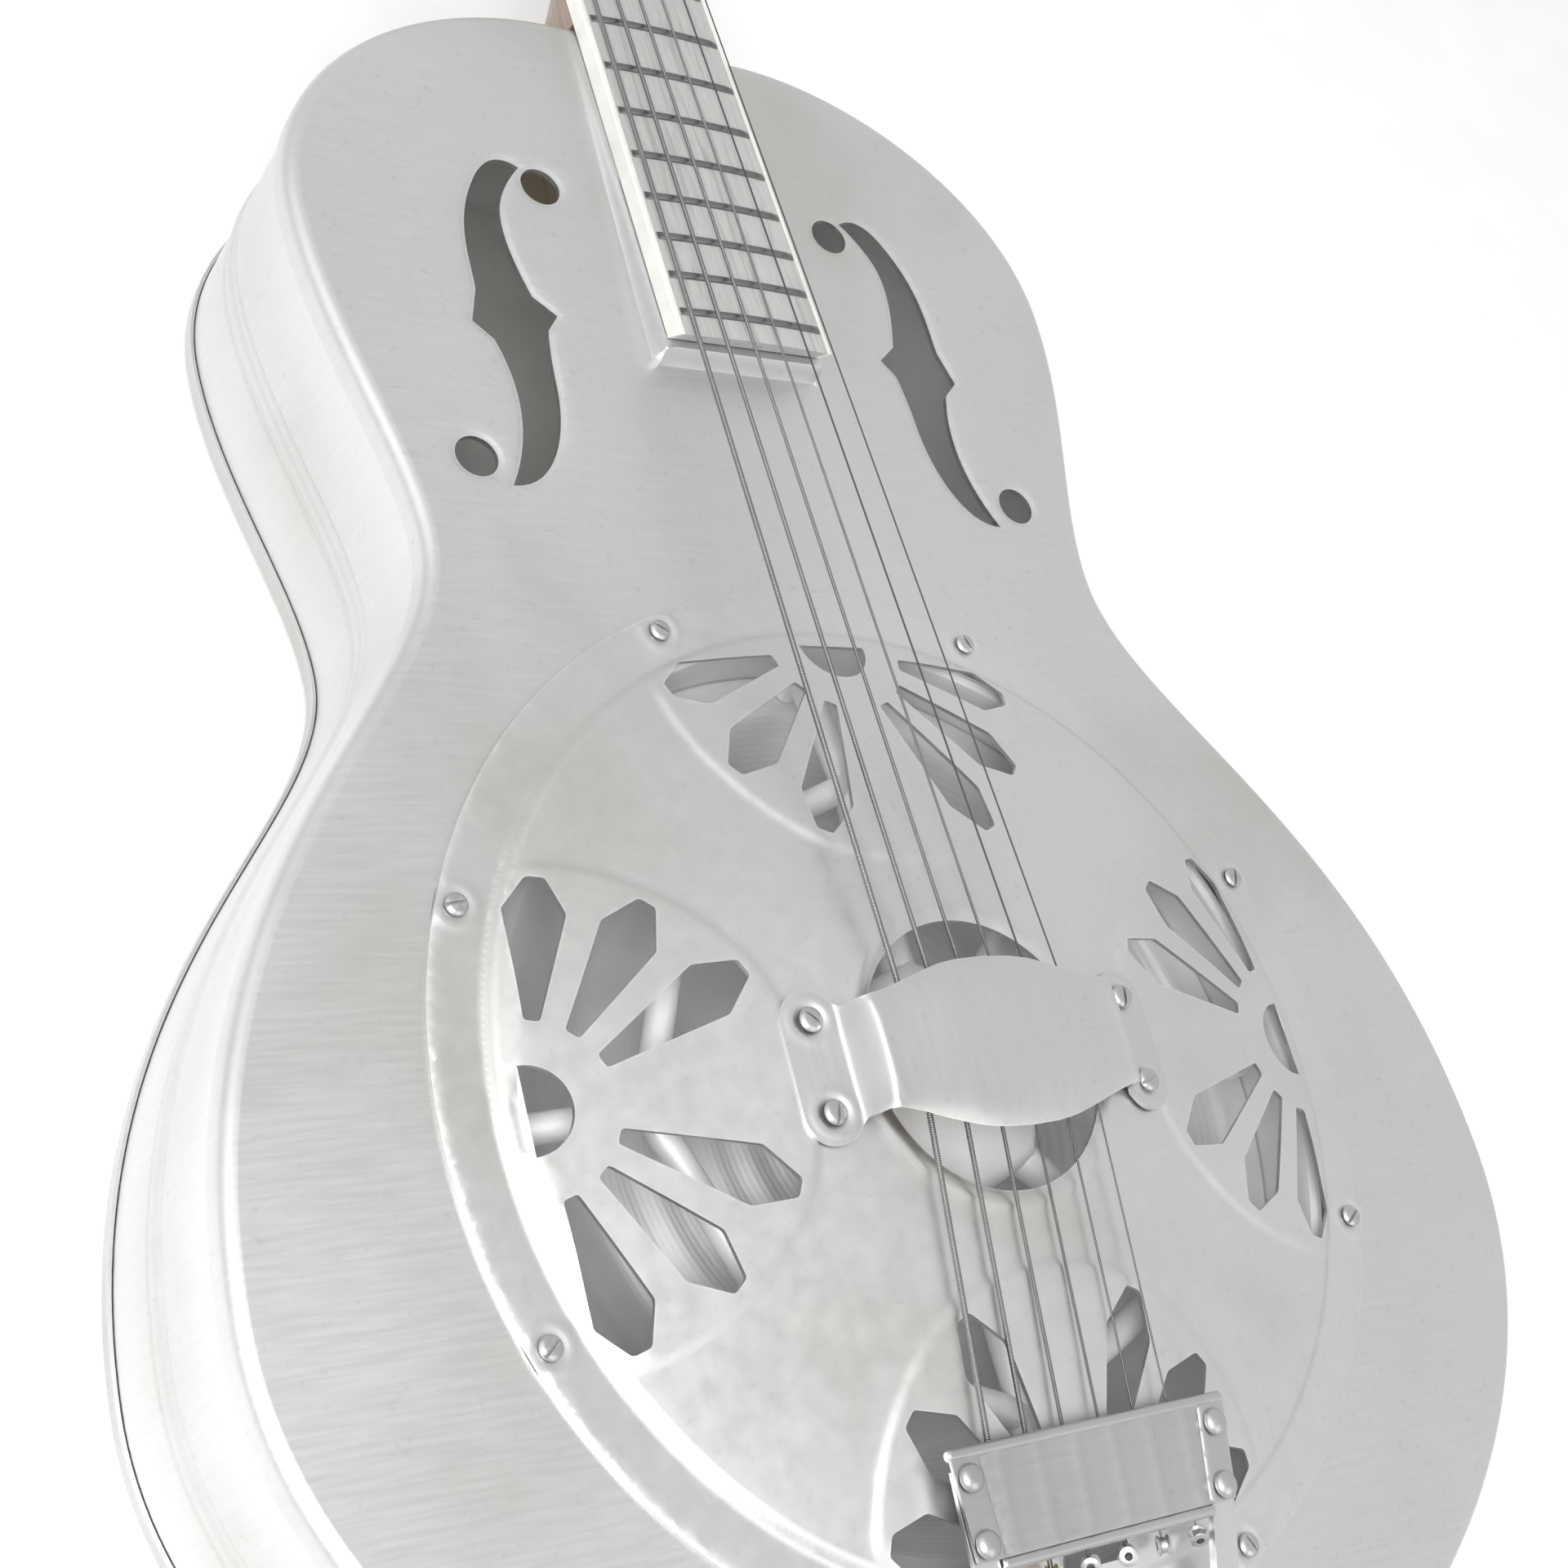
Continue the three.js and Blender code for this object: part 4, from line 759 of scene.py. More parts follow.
def rimmed(face, inward):
    """The rounded rim and the skirt round a plate, open where the plate's flat begins."""
    arc = [math.radians(a) for a in range(0, 91, 15)]
    outside = [(0, RIM_SKIRT), (0, RIM_SKIRT - 0.5)] + [
        (RIM_RADIUS * (1 - math.cos(a)), RIM_RADIUS * (1 - math.sin(a))) for a in arc]
    reach = RIM_RADIUS - RIM_WALL
    back = [(RIM_RADIUS - reach * math.cos(a), RIM_RADIUS - (RIM_RADIUS - SHEET) * math.sin(a)) for a in arc]
    profile = outside + back[::-1] + [(RIM_WALL, RIM_SKIRT)]
    return tube_skin([level(away, face + inward * depth) for away, depth in profile])


def body_top():
    flat = inset(OUTLINE, RIM_RADIUS)
    lips = f_holes()

    def height(p):
        z = TOP_FACE + ledge_height(p)
        for loop in lips:
            z -= 0.7 * (1 - smooth(distance(p, loop) / 2.2))
        return z

    seat = [(x, y) for y in np.arange(LEDGE_FRONT - 1, NECK_REACH - 5, 3)
            for side in (-1, 1) for x in side * (LEDGE_HALF - np.array([2.4, 1.8, 1.2, 0.6, 0, -1]))]
    seat += [(x, LEDGE_FRONT + d) for x in np.arange(2 - LEDGE_HALF, LEDGE_HALF - 2, 3)
             for d in (-1, 0, 0.6, 1.2, 1.8, 2.4, 3)]
    holes = lips + [circle(0, 0, WELL_RADIUS + 2, 180)] + [circle(x, y, 1.6, 10) for x, y in ring_places()]
    plate = pressed(flat, holes, 5, height, SHEET, (0.6, 1.2, 1.9), np.array(seat))
    piece = make("body_top", join([plate, rimmed(TOP_FACE, -1)]), NICKEL, "nickel_plate")
    lined(piece, LINING, lambda c, n: n[:, 2] < -0.3)


def body_back():
    flat = inset(OUTLINE, RIM_RADIUS)
    plate = pressed(flat, [], 9, lambda p: np.full(len(p), SHEET), SHEET, (0.6, 1.6))
    piece = make("body_back", join([plate, rimmed(0, 1)]), BACK_NICKEL, "nickel_plate")
    lined(piece, LINING, lambda c, n: (n[:, 2] > 0.3) & (c[:, 2] < 6))


def body_sides():
    inset_by = RIM_WALL + GAP
    low, high = SIDES_LOW[2], SIDES_HIGH[2]
    bead = [(inset_by - BEAD_PROUD * math.cos(a), BEAD_HEIGHT + 2.4 * a / (math.pi / 2))
            for a in np.linspace(-math.pi / 2, math.pi / 2, 9)]
    grooves = [(inset_by + 0.5 * math.exp(-((z - c) / 0.7) ** 2), z)
               for c in (BEAD_HEIGHT - 4.6, BEAD_HEIGHT + 4.6) for z in np.linspace(c - 1.6, c + 1.6, 7)]
    outer = [(inset_by, low)] + grooves[:7] + bead + grooves[7:] + [(inset_by, z) for z in (55, high)]
    profile = outer + [(inset_by + SHEET, high), (inset_by + SHEET, low)]
    shell = tube_skin([level(away, z) for away, z in profile])
    stick = block((-STICK_HALF - GAP, NECK_REACH - 20, STICK_LOW - GAP),
                  (STICK_HALF + GAP, NECK_REACH + 5, STICK_HIGH + GAP))
    pin = rod(PIN_BORE, (0, -TAIL_REACH - 5, STICK_MIDDLE), (0, 15 - TAIL_REACH, STICK_MIDDLE))
    piece = fused("body_sides", [shell], [stick, pin], NICKEL, "nickel_plate")
    lined(piece, LINING, lambda c, n: distance(c[:, :2], OUTLINE) > inset_by + 1.2)


# ---------------------------------------------------------------- resonator
def cone_well():
    top, low = TOP_FACE - SHEET - GAP, TOP_FACE - SHEET - 20
    r, edge, flange = WELL_RADIUS, WELL_RADIUS - 10, WELL_RADIUS + 7
    profile = [(edge, low), (r - 1, low), (r + 0.9, low + 0.5), (r + 1.4, low + 2), (r + 1.5, top - 1.6),
               (flange, top - 1.5), (flange, top), (r + 1, top), (r + 0.2, top - 0.4), (r, top - 1.4),
               (r, low + 2.2), (r - 0.6, low + 1.6), (edge, low + 1.5)]
    make("cone_well", lathe(profile, 160), WELL, "inner_steel")


def cone_height(r):
    """Height of the upper face of the cone over its lowest ring, with pressed rings on its slope."""
    apex = LEG_Z - 7 - GAP
    knots = [(0, apex), (20, apex), (34, apex - 6), (WELL_RADIUS - 40, CONE_LOW + 1),
             (WELL_RADIUS - 30, CONE_LOW + 3), (WELL_RADIUS - 15, CONE_RIM_Z - 4),
             (WELL_RADIUS - 11, CONE_RIM_Z + 1), (WELL_RADIUS - 0.6, CONE_RIM_Z + 1)]
    z = np.interp(r, *np.array(knots).T)
    return z + np.where((r > 40) & (r < 76), 0.35 * np.sin(r * 2 * math.pi / 7.2) - 0.35, 0)


def resonator_cone():
    radii = np.concatenate([[2.5], np.arange(4, WELL_RADIUS - 0.6, 0.9), [WELL_RADIUS - 0.6]])
    heights = cone_height(radii)
    kernel = np.array([1, 2, 3, 2, 1]) / 9
    heights[2:-2] = np.convolve(heights, kernel, "same")[2:-2]
    upper = list(zip(radii, heights))
    lower = [(r, z - 1) for r, z in upper][::-1]
    make("resonator_cone", lathe(upper + lower, 144), CONE, "spun_aluminium")


def octagon(radius, z, turn=0):
    a = np.arange(8) * math.pi / 4 + turn
    return np.stack([radius * np.cos(a), radius * np.sin(a), np.full(8, z)], 1)


def spider_bridge():
    low = LEG_Z - 7
    levels = [(HUB_RADIUS - 1.2, low), (HUB_RADIUS - 0.3, low + 0.6), (HUB_RADIUS, low + 2),
              (HUB_RADIUS, HUB_TOP - 4), (HUB_RADIUS - 0.6, HUB_TOP - 2), (HUB_RADIUS - 2, HUB_TOP - 0.6),
              (HUB_RADIUS - 3.6, HUB_TOP)]
    hub = skin([round_octagon(r, z) for r, z in levels])
    corners = octagon(RING_RADIUS, LEG_Z)
    sides = [np.linspace(a, b, 7)[:-1] for a, b in zip(corners, np.roll(corners, -1, 0))]
    path = np.concatenate(sides)
    ring = ring_tube(path, LEG_RADIUS, 16)
    foot = WELL_RADIUS - 4.5
    foot_top = CONE_RIM_Z + 8
    slope = [(20, LEG_Z), (HUB_RADIUS, LEG_Z), (RING_RADIUS - 6, LEG_Z), (RING_RADIUS, LEG_Z),
             (RING_RADIUS + 5, LEG_Z - 0.8), (foot - 5, foot_top + 1.9), (foot - 1, foot_top + 0.6),
             (foot, foot_top - 1.4), (foot, CONE_RIM_Z + 1.3)]
    radii = [5.2, 4.6, 3.9, 3.9, 3.8, 3.7, 3.7, 3.7, 3.5]
    leg = sweep([(r, 0, z) for r, z in slope], radii, 16)
    legs = [moved(leg, (0, 0, i * math.pi / 4)) for i in range(8)]
    groove = block((-SADDLE_HALF - GAP, -2.8, HUB_TOP - 2), (SADDLE_HALF + GAP, 2.8, HUB_TOP + 1))
    bore = rod(5, (0, 0, HUB_TOP - 6.3), (0, 0, HUB_TOP + 1))
    fused("spider_bridge", [hub, ring] + legs, [groove, bore], SPIDER, "spun_aluminium", angle=30)


def round_octagon(radius, z):
    """An octagon with its corners eased."""
    a = np.arange(64) * 2 * math.pi / 64
    flat = math.cos(math.pi / 8) / np.cos((a + math.pi / 8) % (math.pi / 4) - math.pi / 8)
    r = radius * (0.8 * np.minimum(flat, 1.0) + 0.2 * 0.985)
    return np.stack([r * np.cos(a + math.pi / 8), r * np.sin(a + math.pi / 8), np.full(64, z)], 1)


def ring_tube(path, radius, sides):
    """A round tube along a closed path."""
    p = np.asarray(path, float)
    tangent = np.roll(p, -1, 0) - np.roll(p, 1, 0)
    tangent /= np.linalg.norm(tangent, axis=1)[:, None]
    rings = []
    for point, t in zip(p, tangent):
        out = np.cross(t, [0, 0, 1])
        a = np.arange(sides)[:, None] * 2 * math.pi / sides
        rings.append(point + radius * (np.cos(a) * out + np.sin(a) * np.array([0, 0, 1])))
    return tube_skin(rings)


def spider_screw():
    top = HUB_TOP - 2.3
    profile = [(0, CONE_LOW + 10), (1.4, CONE_LOW + 10.3), (2, CONE_LOW + 11.5), (2, top - 3.7),
               (4.1, top - 3.7), (4.4, top - 3.4), (4.4, top - 1.6), (3.9, top - 0.6), (3, top), (0, top)]
    body = lathe(profile, 32)
    slot = block((-6, -0.6, top - 1.3), (6, 0.6, top + 1))
    fused("spider_screw", [body], [slot], STEEL, "screw_steel")


def string_x(index, spacing):
    return (index - 2.5) * spacing


def notched_bar(xs, heights, ring):
    """Rings across a bar that lies along X; ring(x, top) gives one section."""
    return skin([ring(x, z) for x, z in zip(xs, heights)])


def notches(half, spacing):
    """Places along a saddle or nut and how far its top drops there for each string."""
    grooves = [(string_x(i, spacing), r + 0.1) for i, r in enumerate(STRING_RADII)]
    xs = sorted(set([-half, half] + list(np.linspace(-half, half, 41)) + [
        x + d * r for x, r in grooves for d in (-1.6, -1, -0.7, 0, 0.7, 1, 1.6)]))
    drops = np.zeros(len(xs))
    for x, r in grooves:
        away = np.abs(np.array(xs) - x) / r
        drops = np.maximum(drops, np.where(away < 1, r * np.sqrt(np.maximum(1 - away**2, 0)), 0))
    return xs, drops


def bridge_saddle():
    low = HUB_TOP - 2 + GAP
    xs, drops = notches(SADDLE_HALF, SADDLE_SPACING)

    def ring(x, top):
        return [(x, -2.5, low), (x, 2.5, low), (x, 2.5, SADDLE_TOP - 6), (x, 1.1, top - 0.5), (x, 0.7, top),
                (x, -0.7, top), (x, -1.1, top - 0.5), (x, -2.5, SADDLE_TOP - 6)]
    make("bridge_saddle", notched_bar(xs, SADDLE_TOP - 0.35 * drops, ring), MAPLE, "maple", bevel=0.25)


# ---------------------------------------------------------------- cover plate
def dome(r):
    s = (r - COVER_HOLE_RADIUS) / DOME_REACH
    rise = COVER_STEP * (1 - smooth((r - STEP_RADIUS + 3.2) / 3.4))
    return FLANGE_TOP + rise + np.where(
        s < 1, (COVER_RISE - COVER_STEP) * (1 - s) + 0.8 * np.sin(math.pi * np.clip(s, 0, 1)), 0)


def fan_holes():
    moon_turn = np.linspace(math.pi / 2, 1.5 * math.pi, 25)
    moon = np.stack([FAN_RADIUS + MOON_RADIUS * np.cos(moon_turn), MOON_RADIUS * np.sin(moon_turn)], 1)
    loops = [moon]
    for angle, tip, shoulder in PETALS:
        for a in (angle, -angle):
            turn = math.radians(a)
            corners = [(PETAL_START, -PETAL_NECK), (shoulder, -PETAL_WIDTH), (tip, -PETAL_TIP),
                       (tip, PETAL_TIP), (shoulder, PETAL_WIDTH), (PETAL_START, PETAL_NECK)]
            loop = np.array([(FAN_RADIUS - u * math.cos(turn) - v * math.sin(turn),
                              -u * math.sin(turn) + v * math.cos(turn)) for u, v in corners])
            loops.append(eased(turned_ccw(loop), 0.9))
    return [turned_ccw(loop) for loop in loops]


def eased(loop, reach):
    """A polygon with small rounds at its corners and points along its sides."""
    made = []
    for a, b, c in zip(np.roll(loop, 1, 0), loop, np.roll(loop, -1, 0)):
        back = (a - b) / np.linalg.norm(a - b)
        on = (c - b) / np.linalg.norm(c - b)
        for point in bezier([b + back * reach, b, b + on * reach], 3):
            made.append(point)
        made.append(b + on * reach)
        length = np.linalg.norm(c - b) - 2 * reach
        steps = int(length // 3)
        made += [b + on * (reach + length * i / (steps + 1)) for i in range(1, steps + 1)]
    return np.array(made)


def spun_about(loop, quarter):
    a = quarter * math.pi / 2
    c, s = math.cos(a), math.sin(a)
    return loop @ np.array([[c, s], [-s, c]])


def fan_edge(p):
    """Distance inside the edge of the raised panel round the nearest fan."""
    best = np.full(len(p), -1e9)
    for quarter in range(4):
        q = spun_about(p, -quarter)
        u, v = FAN_RADIUS - q[:, 0], q[:, 1]
        rho, phi = np.hypot(u, v), np.degrees(np.abs(np.arctan2(v, u)))
        edge = np.interp(phi, PANEL_ANGLES, PANEL_REACHES)
        best = np.maximum(best, np.where(phi < 100, edge - rho, -1e9))
    return best


REST_HOLES = [(i * REST_SPAN, j * REST_Y) for i in (-1, 1) for j in (-1, 1)]


def cover_height(p):
    r = np.hypot(*p.T)
    z = dome(r)
    panel = smooth((fan_edge(p) + 1.5) / 3.4) * (1 - smooth((r - STEP_RADIUS + 8) / 5))
    z += 0.9 * panel
    for x, y in ring_places():
        d = np.hypot(p[:, 0] - x, p[:, 1] - y)
        z += np.where(d < 12, 0.5 * np.exp(-((d - 5.0) / 1.3) ** 2), 0)
    z -= 0.8 * np.exp(-((r - COVER_HOLE_RADIUS) / 1.1) ** 2)
    z += 0.35 * np.exp(-((r - COVER_HOLE_RADIUS - 3.6) / 1.0) ** 2)
    z -= 0.5 * np.exp(-((r - COVER_RADIUS) / 0.8) ** 2)
    return z


def cover_plate():
    one = fan_holes()
    fans = [turned_ccw(spun_about(loop, q)) for q in range(4) for loop in one]
    screws = [circle(x, y, 1.5, 10) for x, y in ring_places()]
    screws += [circle(x, y, REST_BORE, 10) for x, y in REST_HOLES]
    middle = circle(0, 0, COVER_HOLE_RADIUS, 120)
    extra = [circle(0, 0, r, int(r * 3.2)) for r in np.arange(STEP_RADIUS - 4, STEP_RADIUS + 1.2, 0.7)]
    extra += [circle(0, 0, COVER_HOLE_RADIUS + d, 120) for d in (2.4, 3.2, 4, 5)]
    for q in range(4):
        phis = np.radians(np.arange(-88, 89, 2))
        for away in (-2.2, -1.3, -0.4, 0.5, 1.4, 2.2):
            edge = np.interp(np.abs(np.degrees(phis)), PANEL_ANGLES, PANEL_REACHES) - away
            arc = np.stack([FAN_RADIUS - edge * np.cos(phis), edge * np.sin(phis)], 1)
            extra.append(spun_about(arc, q))
    for x, y in ring_places():
        extra += [circle(x, y, d, int(10 + 3 * d)) for d in (2.6, 3.4, 4.2, 5, 5.8, 6.6, 7.6)]
    extra = np.concatenate(extra)
    extra = extra[np.hypot(*extra.T) < COVER_RADIUS - 1.2]
    plate = pressed(circle(0, 0, COVER_RADIUS, 300), [middle] + fans + screws, 2.2, cover_height,
                    COVER_SHEET, (0.45, 0.95), thin_out(extra, 0.45))
    make("cover_plate", plate, COVER, "bright_plate")


def screw(name, at, degrees, head, height, length):
    """A slotted oval-head screw with the underside of its head at a place."""
    shank, slot_half = 1.2, 0.42
    profile = [(0, -length), (shank * 0.5, -length), (shank, -length + 1), (shank, 0), (head * 0.92, 0),
               (head, height * 0.12), (head, height * 0.4), (head * 0.86, height * 0.72),
               (head * 0.6, height * 0.9), (head * 0.3, height * 0.98), (0, height)]
    slot = block((-head - 1, -slot_half, height * 0.42), (head + 1, slot_half, height + 1))
    m = Matrix.Translation(at) @ Matrix.Rotation(math.radians(degrees), 4, "Z")
    fused(name, [through(lathe(profile, 36), m)], [through(slot, m)], STEEL, "screw_steel")


def screws():
    for i, (x, y) in enumerate(ring_places(), 1):
        screw(f"cover_screw_{i}", (x, y, FLANGE_TOP + GAP), 37 * i, 2.8, 1.4, 7)
    length = 6
    seat = cad("palm_rest_screw_1")[0][2] + length - 0.45
    for i, (x, y) in enumerate(REST_HOLES, 1):
        screw(f"palm_rest_screw_{i}", (x, y, seat), 61 * i + 15, 3, 1.6, length)


# ---------------------------------------------------------------- palm rest
def rest_half_width(x):
    """Half width of the palm rest at a distance from its middle: strap, notch, lobes."""
    x = abs(x)
    places, widths = [0, 9, 15, 23, 30, 34, 38, 41], [REST_HALF, 20.6, 19.6, 17.2, 14.9, 13.9, 13.3, 13]
    strap = np.interp(x, places, widths) if x < REST_SPAN - 4 else 0
    rise = REST_LOBE**2 - (x - REST_SPAN) ** 2
    return max(strap, REST_Y + math.sqrt(rise) if rise > 0 else 0)


def rest_outline():
    xs = np.concatenate([np.linspace(0, 38, 20), np.linspace(39.5, 46, 12), REST_SPAN + REST_LOBE * np.sin(
        np.radians(np.arange(-10, 91, 9)))])
    widths = np.array([rest_half_width(x) for x in xs])
    widths[5:-6] = np.convolve(widths, [0.25, 0.5, 0.25], "same")[5:-6]
    quarter = np.stack([xs, widths], 1)
    outer = [(REST_SPAN + REST_LOBE, y) for y in np.linspace(REST_Y - 2, 0, 5)]
    right = np.concatenate([quarter, outer])
    bottom = (right * [1, -1])[::-1][1:]
    half = np.concatenate([right, bottom])
    left = (half * [-1, 1])[::-1][1:-1]
    return turned_ccw(np.concatenate([half, left]))


def rest_height(p):
    """A crowned strap that drops at the riser's crest to feet lying along the dome."""
    x = np.abs(p[:, 0])
    inner, middle, outer = dome(REST_SPAN + np.array([-7.0, 0, 7]))
    foot = middle + GAP - (x - REST_SPAN) * (inner - outer) / 14 + REST_SHEET
    crown = REST_TOP - 2.2 * smooth((x - 13) / 20) * 0.5 - 0.35 * (x / 30) ** 2
    z = crown + (foot - crown) * smooth((x - REST_CREST) / REST_RISER)
    half = np.array([rest_half_width(v) for v in x])
    share = np.clip(np.abs(p[:, 1]) / np.maximum(half, 1), 0, 1)
    droop = (1.4 + 1.6 * smooth((REST_CREST - x) / 20)) * (1 - smooth((x - REST_CREST + 2) / 5))
    z -= droop * (0.35 * share**2 + 0.65 * share**6)
    crease = 0.4 * np.exp(-((x - REST_CREST + 0.6 + 1.2 * share**2) / 1.1) ** 2)
    z += crease * (1 - share**4)
    for sx, sy in REST_HOLES:
        d = np.hypot(p[:, 0] - sx, p[:, 1] - sy)
        z += 0.35 * np.exp(-((d - 5) / 1.1) ** 2) - 0.5 * np.exp(-((d / 3.6) ** 4))
    return z


def palm_rest():
    holes = [circle(x, y, REST_BORE, 12) for x, y in REST_HOLES]
    rings = np.concatenate([circle(x, y, d, int(12 + 3 * d)) for x, y in REST_HOLES
                            for d in (2.6, 3.3, 3.9, 4.5, 5.2, 6)])
    xs = np.arange(REST_CREST - 1.6, REST_CREST + REST_RISER + 1, 0.5)
    riser = np.array([(side * x, y) for side in (-1, 1) for x in xs for y in np.arange(-12, 12.1, 0.8)])
    extra = thin_out(np.concatenate([rings, riser]), 0.45)
    sheet = pressed(rest_outline(), holes, 1.3, rest_height, REST_SHEET, (0.4, 0.9), extra, True)
    make("palm_rest", sheet, BRIGHT, "bright_plate", angle=50)


# ---------------------------------------------------------------- tailpiece
TAIL_SLOPE = 3 / (TAIL_FRONT - TAIL_REAR)


def tail_top(y):
    return TOP_FACE + 16.9 + (y - TAIL_FRONT) * TAIL_SLOPE


def tail_half(y):
    return TAIL_HALF_REAR + (TAIL_HALF_FRONT - TAIL_HALF_REAR) * (y - TAIL_REAR) / (TAIL_FRONT - TAIL_REAR)


def tail_height(p):
    z = tail_top(p[:, 1])
    for i in range(6):
        z += TAIL_RIB * np.exp(-((p[:, 0] - string_x(i, TAIL_SPACING)) / 1.5) ** 2)
    band = np.abs(p[:, 0]) - (tail_half(p[:, 1]) - TAIL_BAND)
    z += 0.22 * smooth(band / 0.8 + 0.5) - TAIL_RIB * np.exp(-(band / 0.45) ** 2)
    return z - TAIL_RIB


def tailpiece_plate():
    corners = [(-TAIL_HALF_REAR, TAIL_REAR), (TAIL_HALF_REAR, TAIL_REAR), (TAIL_HALF_FRONT, TAIL_FRONT),
               (-TAIL_HALF_FRONT, TAIL_FRONT)]
    outline = eased(turned_ccw(np.array(corners, float)), 0.8)
    holes = [circle(x * s, y, 1.6, 12) for x, y in RIVETS for s in (-1, 1)]
    ys = np.arange(TAIL_REAR + 1, TAIL_FRONT - 0.6, 1.8)
    extra = np.array([(s * (tail_half(y) - TAIL_BAND + d), y)
                      for y in ys for s in (-1, 1) for d in (-1, -0.4, 0, 0.4, 1)])
    plate = pressed(outline, holes, 1.25, tail_height, TAIL_SHEET - TAIL_RIB, (0.4,), extra)
    rolls = []
    for y, half in ((TAIL_FRONT, TAIL_HALF_FRONT), (TAIL_REAR - 1.2, TAIL_HALF_ROLL)):
        z = tail_top(y) - TAIL_ROLL + 0.2
        xs = np.concatenate([[-half, -half + 0.3], np.linspace(1 - half, half - 1, 9), [half - 0.3, half]])
        radii = np.full(len(xs), TAIL_ROLL)
        radii[[0, -1]] = TAIL_ROLL - 0.35
        rolls.append(sweep([(x, y, z) for x in xs], radii, 20))
    wall_y = TAIL_REAR - 1.2
    slope = (SADDLE_TOP - BALL_Z) / -BALL_Y
    hole_z = BALL_Z + (wall_y - BALL_Y) * slope
    wall_low, wall_top = BALL_Z - 3, tail_top(wall_y) - 1.4
    outline = eased(np.array([(-TAIL_HALF_ROLL, wall_low), (TAIL_HALF_ROLL, wall_low),
                              (TAIL_HALF_ROLL, wall_top), (-TAIL_HALF_ROLL, wall_top)]), 0.7)
    string_holes = [circle(string_x(i, TAIL_SPACING), hole_z, r + 0.7, 16)
                    for i, r in enumerate(STRING_RADII)]
    v, f = pressed(outline, string_holes, 2.5, lambda p: np.zeros(len(p)), TAIL_SHEET, (0.5,))
    wall = (np.stack([v[:, 0], wall_y + 0.6 + v[:, 2], v[:, 1]], 1), f)
    make("tailpiece_plate", join([plate, wall] + rolls), TAIL, "bright_plate",
         angle=40)


def tailpiece_hanger():
    parts = []
    end = -TAIL_REACH - GAP - STRAP_SHEET
    rest = TOP_FACE + 2.6
    front = TAIL_FRONT - 3.2

    def under(y):
        return tail_top(y) - TAIL_SHEET - GAP - STRAP_SHEET / 2

    knots = np.array([(RIVETS[0][0], front, under(front)), (RIVETS[1][0], TAIL_REAR, under(TAIL_REAR)),
                      (STRAP_TAIL + 3, -150, TOP_FACE + 5), (STRAP_TAIL, end + 4, rest),
                      (STRAP_TAIL, end + 1.6, rest - 0.5), (STRAP_TAIL, end + 0.2, rest - 2.2),
                      (STRAP_TAIL, end - 0.6, rest - 4.5), (STRAP_TAIL, end - 0.6, STICK_MIDDLE)])
    path = refined(knots, 4)
    for side in (-1, 1):
        rings = []
        for i, (x, y, z) in enumerate(path):
            before, after = path[max(i - 1, 0)], path[min(i + 1, len(path) - 1)]
            along = np.array([after[1] - before[1], after[2] - before[2]])
            along /= np.linalg.norm(along)
            lip = 1.0 * smooth((-112 - y) / 8)
            section = [(-3.5, -0.6), (3.5, -0.6), (3.5, 0.6 + 0.2 * lip), (2.9, 0.6 + 0.2 * lip), (2.7, 0.6),
                       (-2.5, 0.6), (-2.7, 0.6 + lip), (-3.5, 0.6 + lip)]
            rings.append([(side * (x + w), y - along[1] * h, z + along[0] * h) for w, h in section])
        parts.append(skin(rings))
    half = STRAP_TAIL + STRAP_HALF + 0.5
    y = end - 0.8 - STRAP_SHEET / 2
    low, high = STICK_MIDDLE - 12, STICK_MIDDLE + 10
    outline = eased(np.array([(-half, low), (half, low), (half, high), (-half, high)]), 4)
    v, f = pressed(outline, [circle(0, STICK_MIDDLE, PIN_BORE, 32)], 4,
                   lambda p: 0.5 * np.exp(-((np.hypot(p[:, 0], p[:, 1] - STICK_MIDDLE) - 8) / 1.2) ** 2),
                   1.1, (0.6, 2, 3.2))
    parts.append((np.stack([v[:, 0], y + 1.1 - v[:, 2] * 0.9, v[:, 1]], 1), f))
    make("tailpiece_hanger", join(parts), BRIGHT, "bright_plate", bevel=0.15)


def refined(knots, steps):
    """A smooth path through its knots, keeping each knot."""
    made = []
    p = np.concatenate([[2 * knots[0] - knots[1]], knots, [2 * knots[-1] - knots[-2]]])
    for i in range(1, len(p) - 2):
        a, b, c, d = p[i - 1 : i + 3]
        for t in np.arange(steps) / steps:
            straight = b + (c - b) * t
            bend = (2 * a - 5 * b + 4 * c - d) * t**2 + (3 * b - a - 3 * c + d) * t**3
            made.append(0.5 * straight + 0.25 * (2 * b + (c - a) * t + bend))
    made.append(knots[-1])
    return np.array(made)


def rivets():
    places = [(s * x, y) for x, y in RIVETS for s in (-1, 1)]
    for i, (x, y) in enumerate(places, 1):
        profile = [(0, -3.6), (1.3, -3.6), (1.3, 0), (3.1, 0), (3.2, 0.15)]
        profile += [(3.2 * math.cos(t), 0.2 + 1.9 * math.sin(t)) for t in np.radians(np.arange(12, 90, 12))]
        profile += [(0, 2.1)]
        part = moved(lathe(profile, 32), shift=(x, y, tail_top(y) + GAP * 0.6))
        make(f"tailpiece_rivet_{i}", part, STEEL, "screw_steel")


def end_pin():
    face = 2 * STRAP_SHEET + 2 * GAP + 0.6
    knob = [(3.9, 0), (6.8, 0), (7.5, 0.6), (7.2, 1.6), (5.6, 3.2), (5, 5), (5, 7.4), (6, 9), (7.8, 10.6),
            (8, 11.4), (7.2, 12.8), (5, 14), (2, 14.4), (0, 14.5)]
    profile = [(0, -12), (3.2, -12), (3.9, -11)] + [(r, face + z) for r, z in knob]
    part = moved(lathe(profile, 48), (math.pi / 2, 0, 0), (0, -TAIL_REACH, STICK_MIDDLE))
    make("end_pin", part, BLACK, "ebony")


